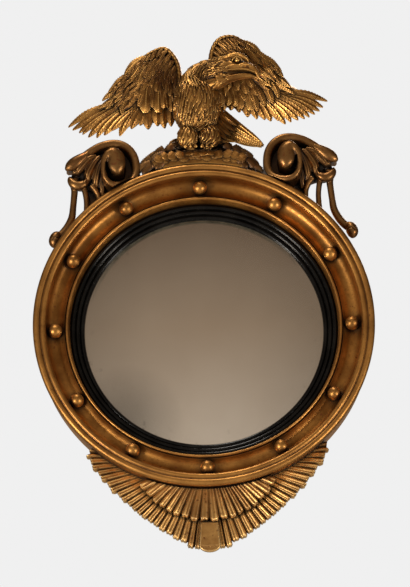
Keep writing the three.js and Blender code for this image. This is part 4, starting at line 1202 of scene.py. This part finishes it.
def band_on_edge(side, line):
    """A strip of wood that stands on edge, with a rounded front."""
    row = smooth(line, 220)
    crown_height = 4.2
    way = unit(np.gradient(row[:, :2], axis=0))
    across = np.stack([way[:, 1], -way[:, 0]], -1)
    half = row[:, 3, None] / 2
    s = np.linspace(-1, 1, 17)[None, :]
    crown = row[:, 2, None] - crown_height * (1 - np.sqrt(np.maximum(1 - 0.96 * s**2, 0)))
    walls = np.linspace(0.94, 0.0, 8)[None, :]
    wall_depth = SCROLL_BACK + (row[:, 2, None] - crown_height - SCROLL_BACK) * walls
    offset = np.concatenate([s * half, half + 0 * walls, -half + 0 * walls], 1)
    depth = np.concatenate([crown, wall_depth, wall_depth[:, ::-1]], 1)
    u = row[:, 0, None] + across[:, 0, None] * offset
    v = row[:, 1, None] + across[:, 1, None] * offset
    x, z = rim_point(side)(u, v)
    return skin(place(x, z, depth))


def slab(side, outline, back, front):
    """A flat piece with a rounded edge, from an outline of (out, up)."""
    flat = smooth(outline + [outline[0]], 160)[:-1]
    flat = np.stack(rim_point(side)(flat[:, 0], flat[:, 1]), -1)
    hub = flat.mean(0)
    rings = [level_ring(hub + (flat - hub) * share, depth) for share, depth in [
        (0.03, back), (1.0, back), (1.0, front - 1.5), (0.98, front - 0.4), (0.94, front), (0.03, front),
    ]]
    return skin(np.array(rings))


def volute(side):
    """The heart of the volute: the band rolls over at the top and hangs down as a fat drop."""
    drop = rim_limb(side, [
        [13, 60, 67, 6, 7], [6, 59, 68, 11, 8.5], [1, 52, 68, 14.2, 9], [-0.4, 43, 68, 14.8, 9.2],
        [-0.6, 34, 67.4, 13.6, 9], [-0.8, 27, 66.4, 10, 7.6], [-1, 22, 65, 5, 4.6],
    ], 48)
    stalk_outline = [[-12, 28], [-14, 44], [-9, 57], [6, 62], [17, 54], [19, 40], [15, 27], [0, 24]]
    return [drop, slab(side, stalk_outline, 20, 66.5)]


def scroll(side):
    rolled_tip = rim_limb(side, [
        [46, 66, 46, 6, 7], [58, 58, 46.5, 9, 8], [68, 51, 46, 10.5, 8.5], [76, 45.5, 44.5, 9, 7.5],
        [81, 42, 43, 5, 5], [83, 40.5, 42, 1.5, 2],
    ], 36)
    ground = slab(side, ground_outline[side], SCROLL_BACK, 29.0)
    shape = sculpted([band_on_edge(side, hood_line), rolled_tip, ground] + volute(side), 1.0)

    def cut(x, z, depth):
        """A groove between the drop and the band, and a hollow like a new moon under it."""
        u, v = off_rim(side, x, z)
        front = np.clip((depth - 45) / 6, 0, 1)
        under_drop = [[16, 42], [15, 30], [11, 21.5], [4, 16.5], [-4, 15.5], [-12, 18.5], [-18, 26]]
        moon, along = near_line(u, v, under_drop)
        hollow = 12 * np.exp(-((moon / (0.8 + 3.6 * np.sin(math.pi * along) ** 1.2)) ** 2))
        return -front * hollow

    return seated(pressed(shape, cut))


for side in scroll_sides:
    piece(f"scroll_band_{side}", scroll(side), shaded_gold, [f"scroll_{side}"], sharp=60)


# %% Acanthus
leaf_ribs = {
    "outer tongue": [[33, 62, 42, 6, 8], [45, 57, 44, 8.5, 8.5], [56, 47, 43.5, 8.5, 7.5],
                     [63, 38, 41, 6, 5.5], [67, 32, 38, 3, 3]],
    "second tongue": [[27, 60, 42, 6, 8], [36, 49, 44, 8, 8.5], [44, 36, 43.5, 8, 7.5], [48, 24, 41, 6.5, 6],
                      [49.5, 14, 38, 3, 3.5]],
    "third tongue": [[21, 56, 41, 5.5, 8], [28, 42, 43, 7.5, 8], [32, 28, 42.5, 7.5, 7.5],
                     [34, 16, 40, 6, 5.5], [34, 7, 37, 3, 3]],
    "inner tongue": [[19, 46, 39, 4.5, 7], [22, 28, 40, 6.5, 7], [23.5, 12, 38.5, 6, 6],
                     [24, -3, 35, 3.5, 4]],
    "edge": [[72, 47, 40, 5, 6], [67, 39, 40, 6.4, 6.5], [66.5, 30, 40, 6.4, 6], [69, 22, 40, 5, 6]],
    "lip": [[76, 29, 38, 3.5, 4], [74.8, 22.5, 41, 6.2, 6.4], [70, 15.5, 43, 7.8, 7.4],
            [62, 12.5, 43.5, 8, 7.2], [54, 15.5, 43, 6.6, 6.6], [47.5, 22, 41, 4, 5]],
    "outer stem": [[72, 20, 38, 6.5, 6.5], [69.5, 8, 37, 5.8, 6], [70.6, -6, 36, 5.4, 6],
                   [72.4, -22, 35.5, 5.4, 6], [75, -40, 35, 6, 6], [82, -55, 34.5, 6.4, 6.2],
                   [91, -67, 35, 6.6, 6.5], [99, -73, 35, 7, 7]],
    "second stem": [[57, 18, 39, 5.5, 6], [52.5, 4, 38, 4.8, 6], [50.3, -14, 37, 4.5, 5.5],
                    [50.8, -34, 37, 4.8, 5.5], [51.5, -46, 38, 5, 5.5]],
    "inner stem": [[41, 14, 40, 5.5, 6], [34, 3, 39, 4.6, 6], [30, -7, 38, 4.5, 5.5],
                   [29, -20, 37, 4.6, 5.5]],
    "bud": [[96, -68, 35, 6, 6.5], [101.5, -73, 36.5, 9, 9], [104, -81, 37, 10, 10], [104, -88.5, 36.5, 7, 7],
            [103.6, -92.5, 36, 2, 2]],
}
grooved = ("outer tongue", "second tongue", "third tongue", "inner tongue")
leaf_ground = [[74, 34], [62, 54], [40, 66], [22, 58], [17, 30], [20, 4], [34, 4], [48, 8], [62, 8], [76, 16]]


def acanthus(side):
    ribs = [rim_limb(side, line, 32) for line in leaf_ribs.values()]
    shape = sculpted(ribs + [slab(side, leaf_ground, 27.6, 36.5)], 0.9)

    def veins(x, z, depth):
        """Each tongue has a groove down its middle with a fine one on each side, the bud has one fold."""
        u, v = off_rim(side, x, z)
        front = np.clip((depth - 36) / 3, 0, 1)
        total = 0.0
        for name in grooved:
            gap, along = near_line(u, v, np.array(leaf_ribs[name])[:, :2])
            fade = np.sin(math.pi * np.clip(along, 0, 1)) ** 0.4
            total = total - fade * (1.0 * np.exp(-((gap / 1.2) ** 2)) + 0.5 * np.exp(-(((gap - 4.6) / 0.9) ** 2)))
        cup, _ = near_line(u, v, [[54, 27], [62, 29], [71, 30]])
        fold, _ = near_line(u, v, [[90, -74], [97, -78], [103, -77], [108, -80]])
        return front * (total - 7.5 * np.exp(-((cup / 3.2) ** 2)) - 1.3 * np.exp(-((fold / 1.2) ** 2)))

    return seated(pressed(shape, veins))


for side in scroll_sides:
    piece(f"acanthus_leaf_{side}", acanthus(side), shaded_gold, [f"acanthus_{side}"], sharp=70)


# %% [markdown]
# ## The shell apron
#
# The apron is two tiers of fluted shell that fan out from one centre behind the frame. The lower tier is
# longest in the middle and flares at its ends. Each flute is a round rib between two sharp valleys, cut off
# with a scalloped end that catches the light. In the middle of the lower tier the ribs are fine and grouped,
# either side of a plain tab.

# %% Fluted tiers
FAN = 204.97  # how far below the mirror's axis the centre is from which the flutes fan out
FRAME_SIDE = 268.5  # radius behind the outer bead at which both tiers start


def to_circle(radius, angle):
    """The way from the centre of the fan to a circle about the mirror's axis."""
    return np.sqrt(radius**2 - (FAN * np.sin(angle)) ** 2) - FAN * np.cos(angle)


def pleats(edges, fine, seed):
    """Angles, and for each the height of the broad rib (0 to 1) and of the fine flutes on it (-1 to 1)."""
    chance = np.random.default_rng(seed)
    angles, broad, small, wild = [], [], [], []
    for a, b in zip(edges[:-1], edges[1:]):
        flutes = max(1, round((b - a) / fine))
        share = np.linspace(0, 1, 9 * flutes + 11, endpoint=False)
        lean = chance.uniform(-0.5, 0.5)
        angles.append(a + (b - a) * share)
        broad.append(np.sin(math.pi * share) ** 0.7 * (1 + lean * (share - 0.5)))
        small.append(-np.cos(2 * math.pi * flutes * (share + 0.04 * np.sin(6 * share + seed))))
        wild.append(np.full(len(share), chance.uniform(-1, 1)))
    join = [np.append(np.concatenate(part), end) for part, end in ((broad, 0.0), (small, -1.0), (wild, 0.0))]
    return np.append(np.concatenate(angles), edges[-1]), *join


def fluted(edges, reach, back, thick, height, scallop, fine, seed):
    """edges are the angles between the broad ribs, in degrees from straight down. reach(angle) is the length of
    the flutes, height that of a rib, scallop the depth of the valleys at the end, and fine the degrees that one
    fine flute takes."""
    turn, broad, small, wild = pleats(edges, fine, seed)
    angle = np.radians(turn)
    inner = to_circle(FRAME_SIDE, angle)[:, None]
    end = reach(turn) - scallop * (1 - broad) - 0.8 * (1 - small) + 0.8 * wild
    calm = np.interp(turn, turn[::90], reach(turn)[::90])[:, None]  # keeps the rows straight but for the end
    t = np.linspace(0, 1, 64)[None, :]
    radius = inner + (calm - inner) * t + (end[:, None] - calm) * np.clip((t - 0.8) / 0.2, 0, 1) ** 1.3
    grow = np.clip(t * 1.15, 0, 1) ** 0.6
    ribs = height * (0.66 * broad[:, None] * grow + 0.14 * (small[:, None] + 1) * np.clip(0.35 + 0.65 * t, 0, 1))
    nicks = 0.1 * np.sin(13 * t + 2 * broad[:, None] + 5 * wild[:, None]) * t
    face = back + thick + ribs + nicks - 2.6 * np.clip((t - 0.94) / 0.06, 0, 1) ** 2.5
    under_radius = inner + (end[:, None] - 0.8 - inner) * t[:, ::-1]
    ring_radius = np.concatenate([radius, under_radius], 1)
    ring_depth = np.concatenate([face, back + 0 * under_radius], 1)
    x, z = ring_radius * np.sin(angle)[:, None], -FAN - ring_radius * np.cos(angle)[:, None]
    return seated(skin(place(x, z, ring_depth)))


def lower_reach(turn):
    """Each group of flutes ends square, so the outline comes down in steps."""
    groups = np.array([0, 13, 23, 33, 42, 50, 58, 66, 74, 81, 88, 95])
    size = np.abs(turn)
    k = np.clip(np.searchsorted(groups, size, side="right") - 1, 0, len(groups) - 2)
    middle = (groups[k] + groups[k + 1]) / 2
    stepped = 0.2 * size + 0.8 * middle
    shortest, waist = 155.5, 40
    to_middle = shortest + 21 * ((waist - stepped) / waist) ** 2
    to_ends = shortest + 46 * ((stepped - waist) / 50) ** 2
    return np.minimum(np.where(stepped < waist, to_middle, to_ends), 199.5 - 2.2 * np.maximum(size - 88.5, 0))


half_edges = [5.2, 9, 13, 18, 23, 28, 33, 37.5, 42, 46, 50, 54, 58, 62, 66, 70, 74, 78, 81, 84.5, 87.8, 90.6, 93.2]
lower_edges = [-e for e in half_edges[::-1]] + half_edges
lower = fluted(lower_edges, lower_reach, back=10.6, thick=6.4, height=6.2, scallop=3.0, fine=2.0, seed=5)
piece("shell_lower", lower, lit_gold, ["apron_lower_shell"], sharp=115)
upper_edges = np.linspace(-63.6, 63.6, 19) + 1.2 * np.sin(np.linspace(0, 13, 19))
upper = fluted(upper_edges, lambda turn: 126.6 + 1.2 * np.sin(turn * 0.4),
               back=23.6, thick=7.2, height=6.6, scallop=6.5, fine=3.4, seed=8)
piece("shell_upper", upper, lit_gold, ["apron_upper_shell"], sharp=115)


# %% Tab
def tab():
    """A plain tongue with a round end and one line cut across it."""
    x = np.linspace(-17.2, 17.2, 40)
    low = np.stack([x, -371.0 - 11.6 * np.sqrt(np.maximum(1 - (x / 17.4) ** 2, 0))], -1)
    top = np.stack([low[::-1, 0] * 0.8, np.full(len(x), -331.4)], -1)
    flat = np.vstack([low, top])
    hub = flat.mean(0)
    sides = [(0.05, 23.4), (0.98, 23.4), (1.0, 24.2), (1.0, 28.0), (0.97, 28.9)]
    front = [(share, 29.2) for share in np.linspace(0.92, 0.05, 24)]
    rings = [level_ring(hub + (flat - hub) * share, depth) for share, depth in sides + front]

    def cut_line(x, z, depth):
        return np.where(depth > 28.5, -0.8 * np.exp(-(((z + 373.5) / 0.8) ** 2)), 0)

    return pressed(skin(np.array(rings)), cut_line)


piece("apron_centre_tab", tab(), lit_gold, ["apron_tab"], sharp=50)


# %% [markdown]
# ## The back
#
# The back tells how the mirror is made: a round pine backboard of three planks in a rabbet, held by six
# screws, and two battens let into the frame, one for the eagle and one for the shell. A strap with a rolled
# eye carries the hanging ring. Edges are eased, because no carpenter leaves them sharp.

# %% Boards
def eased_box(low, high, ease):
    """A box in mm, given by its corners in (right, up, depth), with rounded edges."""
    (x0, z0, d0), (x1, z1, d1) = low, high
    middle = np.array([(x0 + x1) / 2, (z0 + z1) / 2])
    hx, hz = half = np.array([(x1 - x0) / 2, (z1 - z0) / 2])
    corner = []
    for sx, sz, a0 in ((1, 1, 0), (-1, 1, 90), (-1, -1, 180), (1, -1, 270)):
        for a in np.radians(np.linspace(a0, a0 + 90, 6)):
            corner.append((sx * (hx - ease) + ease * math.cos(a), sz * (hz - ease) + ease * math.sin(a)))
    flat, some = np.array(corner), 0.3 * ease
    rings = []
    for share, inset, depth in [
        (0.02, 0, d0), (1, ease, d0), (1, some, d0 + some), (1, 0, d0 + ease),
        (1, 0, d1 - ease), (1, some, d1 - some), (1, ease, d1), (0.02, 0, d1),
    ]:
        rings.append(level_ring(middle + flat * ((1 - inset / half) * share), depth))
    return skin(np.array(rings))


def node_box(node):
    """The corners of a node's box in mm, as (right, up, depth)."""
    low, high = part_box(node)
    return [1000 * low[0], 1000 * low[2], -1000 * high[1]], [1000 * high[0], 1000 * high[2], -1000 * low[1]]


for name, node in (("eagle_batten", "crest_batten"), ("shell_batten", "apron_batten")):
    piece(name, eased_box(*node_box(node), 1.4), pine, [node])


BOARD_RADIUS = 239.4


def planks():
    """Three planks cut to a disc, each with eased edges and a hair of a gap between them."""
    shapes = []
    for left, right in ((-239.3, -82.3), (-81.9, 78.1), (78.5, 239.3)):
        xs = np.linspace(left, right, 60)
        rise = np.sqrt(np.maximum(BOARD_RADIUS**2 - xs**2, 1.0))
        flat = np.vstack([np.stack([xs, rise], -1), np.stack([xs[::-1], -rise[::-1]], -1)])
        hub = np.array([(left + right) / 2, 0.0])
        rings = []
        for inset, depth in [(None, 0.2), (1.4, 0.2), (0.4, 0.6), (0.0, 1.6), (0.0, 7.8), (None, 7.8)]:
            if inset is None:
                p = hub + (flat - hub) * 0.02
            else:
                p = hub + (flat - hub) * (1 - inset / np.maximum(np.abs(flat - hub).max(0), 1))
            rings.append(level_ring(p, depth))
        shapes.append(skin(np.array(rings)))
    return together(shapes)


piece("plank_backboard", planks(), pine, ["backboard"])
for i in range(6):
    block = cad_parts[f"glazing_block_{i + 1}"]
    block.data.materials.clear()
    block.data.materials.append(pine)


# %% [markdown]
# The screws are the old hand-cut kind, with a slot that is never quite in the middle or in line with its
# neighbour. A slot is cheap to model if the head is built as rings: the slot is a strip of points pushed in.

# %% Screws
def screw(x, z, depth, head, length, turn):
    """head is the radius of the head, and turn the angle of its slot."""
    rings = []
    angle = full_turn(48)
    for radius, fall in [(0.04, 0), (0.35, 0), (0.6, 0), (0.8, 0.02), (0.94, 0.12), (1.0, 0.35)]:
        px, pz = head * radius * np.cos(angle), head * radius * np.sin(angle)
        off = px * math.cos(turn) + pz * math.sin(turn)
        slot = 0.9 * (np.abs(off - 0.15) < 0.55)
        rings.append(place(x + px, z + pz, depth + 0.12 + fall + slot))
    for radius, down in [(0.46, 2.6), (0.42, 5), (0.42, length - 2), (0.06, length)]:
        px, pz = head * radius * np.cos(angle), head * radius * np.sin(angle)
        rings.append(place(x + px, z + pz, depth + down))
    return skin(np.array(rings))


for k, node in enumerate(sorted(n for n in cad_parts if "screw" in n)):
    low, high = node_box(node)
    x, z = (low[0] + high[0]) / 2, (low[1] + high[1]) / 2
    shape = screw(x, z, low[2], (high[0] - low[0]) / 2, high[2] - low[2], 0.4 + 1.3 * k)
    piece(f"slotted_{node}", shape, iron, [node])


# %% Strap and hanging ring
PIN_DEPTH = 5.8  # depth of the axis on which the ring swings


def strap():
    low, high = node_box("hanger_strap")
    axis_z = low[1] + 3.9
    plate = eased_box([low[0], axis_z + 8, 8.15], [high[0], high[1], 9.65], 0.5)
    neck = eased_box([-3, axis_z + 2.5, 8.15], [3, axis_z + 9, 9.65], 0.4)
    angle = np.linspace(-0.45 * math.pi, 1.45 * math.pi, 40)[:, None]
    across, radius = np.array([[-3.0, 3.0, 3.0, -3.0]]), np.array([[3.85, 3.85, 2.35, 2.35]])
    eye = skin(place(across, axis_z + radius * np.sin(angle), PIN_DEPTH + radius * np.cos(angle)))
    return together([plate, neck, eye])


piece("hanging_strap", strap(), iron, ["hanger_strap"], sharp=40)


def hanging_ring():
    around, across = full_turn(120)[:, None], full_turn(20)[None, :]
    bar, size = 1.5 + 0.06 * np.sin(5 * around), 14
    radius = size + bar * np.cos(across)
    middle = RIM + 26 - size
    rings = place(radius * np.sin(around), middle + radius * np.cos(around), PIN_DEPTH + bar * np.sin(across))
    return skin(rings, loop=True)


piece("swinging_ring", hanging_ring(), iron, ["hanging_ring"], body="ring")


# %% [markdown]
# ## Studio
#
# The mirror hangs in front of a pale backdrop and is seen from below, as one sees it on a wall. The camera
# stands far off with a long lens, so that circles stay round. Two broad lamps from low left and low right
# give each ball its pair of highlights, one overhead picks out the crest, and one behind is there for a look
# at the back. The world is pale to the camera and brownish to everything that reflects it, lighter near the
# floor: that is the room that the old glass shows.

# %% Camera
DISTANCE, LIFT, LEAN = 30.0, math.radians(-20.0), math.radians(1.6)
PIXELS_PER_METRE, PICTURE_HEIGHT, SENSOR = 611.6, 587, 36.0

towards = Vector((0.0, -math.cos(LIFT), math.sin(LIFT)))
level = Vector((1.0, 0.0, 0.0))
upright = towards.cross(level)
right = level * math.cos(LEAN) - upright * math.sin(LEAN)
above = level * math.sin(LEAN) + upright * math.cos(LEAN)
aim = above * 0.0708 + right * 0.0013 + towards * 0.045

camera = bpy.data.objects.new("camera", bpy.data.cameras.new("camera"))
bpy.context.scene.collection.objects.link(camera)
bpy.context.scene.camera = camera
turn = Matrix((right, above, towards)).transposed().to_4x4()
camera.matrix_world = Matrix.Translation(aim + towards * DISTANCE) @ turn
camera.data.sensor_width = SENSOR
camera.data.lens = SENSOR * PIXELS_PER_METRE * DISTANCE / PICTURE_HEIGHT
camera.data.clip_end = 200.0
print("lens in mm:", round(camera.data.lens, 1))


# %% Lamps, floor and world
def lamp(name, where, size, power, colour):
    """A round lamp in metres and watts that points at the middle of the picture."""
    light = bpy.data.lights.new(name, "AREA")
    light.shape, light.size, light.energy, light.color = "DISK", size, power, colour
    made = bpy.data.objects.new(name, light)
    made.location = where
    made.rotation_mode = "QUATERNION"
    made.rotation_quaternion = (aim - Vector(where)).to_track_quat("-Z", "Y")
    bpy.context.scene.collection.objects.link(made)


lamp("low_left", (-2.4, -2.2, -1.25), 0.9, 76, (1.0, 0.95, 0.88))
lamp("low_right", (2.5, -2.1, -1.2), 0.9, 44, (1.0, 0.95, 0.88))
lamp("overhead", (-0.5, -1.3, 3.3), 1.0, 42, (1.0, 0.96, 0.9))
lamp("behind", (0.6, 2.6, 2.2), 2.0, 50, (1.0, 0.97, 0.93))


def pale_floor():
    finish, tree, shader, where = new_finish("pale_floor")
    colour = ramp(tree, noise(tree, where, 3, 3), [(0.3, (0.72, 0.715, 0.705)), (0.7, (0.76, 0.755, 0.745))])
    drive(tree, shader, {"Base Color": colour, "Roughness": 0.8})
    angle = full_turn(96)
    rings = [np.stack([r * np.cos(angle), r * np.sin(angle), np.full(96, z)], -1)
             for r, z in [(0.05, -1.6), (1.2, -1.6), (2.3, -1.6), (2.3, -1.62), (0.05, -1.62)]]
    points, faces = skin(np.array(rings))
    mesh = bpy.data.meshes.new("floor")
    mesh.from_pydata(points.tolist(), [], faces)
    mesh.materials.append(finish)
    floor = bpy.data.objects.new("floor", mesh)
    bpy.context.scene.collection.objects.link(floor)
    floor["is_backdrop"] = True


pale_floor()


def studio_world():
    world = bpy.data.worlds.new("studio")
    bpy.context.scene.world = world
    world.use_nodes = True
    tree = world.node_tree
    tree.nodes.clear()
    out = tree.nodes.new("ShaderNodeOutputWorld")
    direction = tree.nodes.new("ShaderNodeTexCoord").outputs["Generated"]
    height = tree.nodes.new("ShaderNodeSeparateXYZ")
    tree.links.new(direction, height.inputs[0])
    lifted = tree.nodes.new("ShaderNodeMapRange")
    lifted.inputs["From Min"].default_value, lifted.inputs["From Max"].default_value = -1.0, 1.0
    tree.links.new(height.outputs["Z"], lifted.inputs["Value"])
    room = ramp(tree, lifted.outputs["Result"], [
        (0.0, (0.14, 0.135, 0.13)), (0.36, (0.28, 0.27, 0.25)), (0.43, (0.56, 0.515, 0.455)),
        (0.67, (0.34, 0.275, 0.21)), (0.87, (0.135, 0.098, 0.068)), (1.0, (0.12, 0.095, 0.07)),
    ])
    aside = tree.nodes.new("ShaderNodeMath")
    aside.operation = "ABSOLUTE"
    tree.links.new(height.outputs["X"], aside.inputs[0])
    dim = ramp(tree, aside.outputs[0], [(0.0, 1.0), (0.2, 0.94), (0.43, 0.68), (0.7, 0.34), (1.0, 0.26)])
    room = blend(tree, 1.0, room, dim, "MULTIPLY")
    seen = tree.nodes.new("ShaderNodeBackground")
    seen.inputs["Color"].default_value = (0.871, 0.871, 0.871, 1)
    lit = tree.nodes.new("ShaderNodeBackground")
    tree.links.new(room, lit.inputs["Color"])
    path = tree.nodes.new("ShaderNodeLightPath")
    mix = tree.nodes.new("ShaderNodeMixShader")
    tree.links.new(path.outputs["Is Camera Ray"], mix.inputs[0])
    tree.links.new(lit.outputs[0], mix.inputs[1])
    tree.links.new(seen.outputs[0], mix.inputs[2])
    tree.links.new(mix.outputs[0], out.inputs[0])


studio_world()
bpy.context.scene.view_settings.view_transform = "Standard"


# %% [markdown]
# ## Size of the dressed mirror
#
# The box round the dressed mirror, without the floor, is measured and its size printed in mm. The
# dressed mirror must stay inside the box of its solids.

# %% Measure and finish
low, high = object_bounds()
print("visual box in mm:", [round(1000 * (b - a)) for a, b in zip(low, high)])
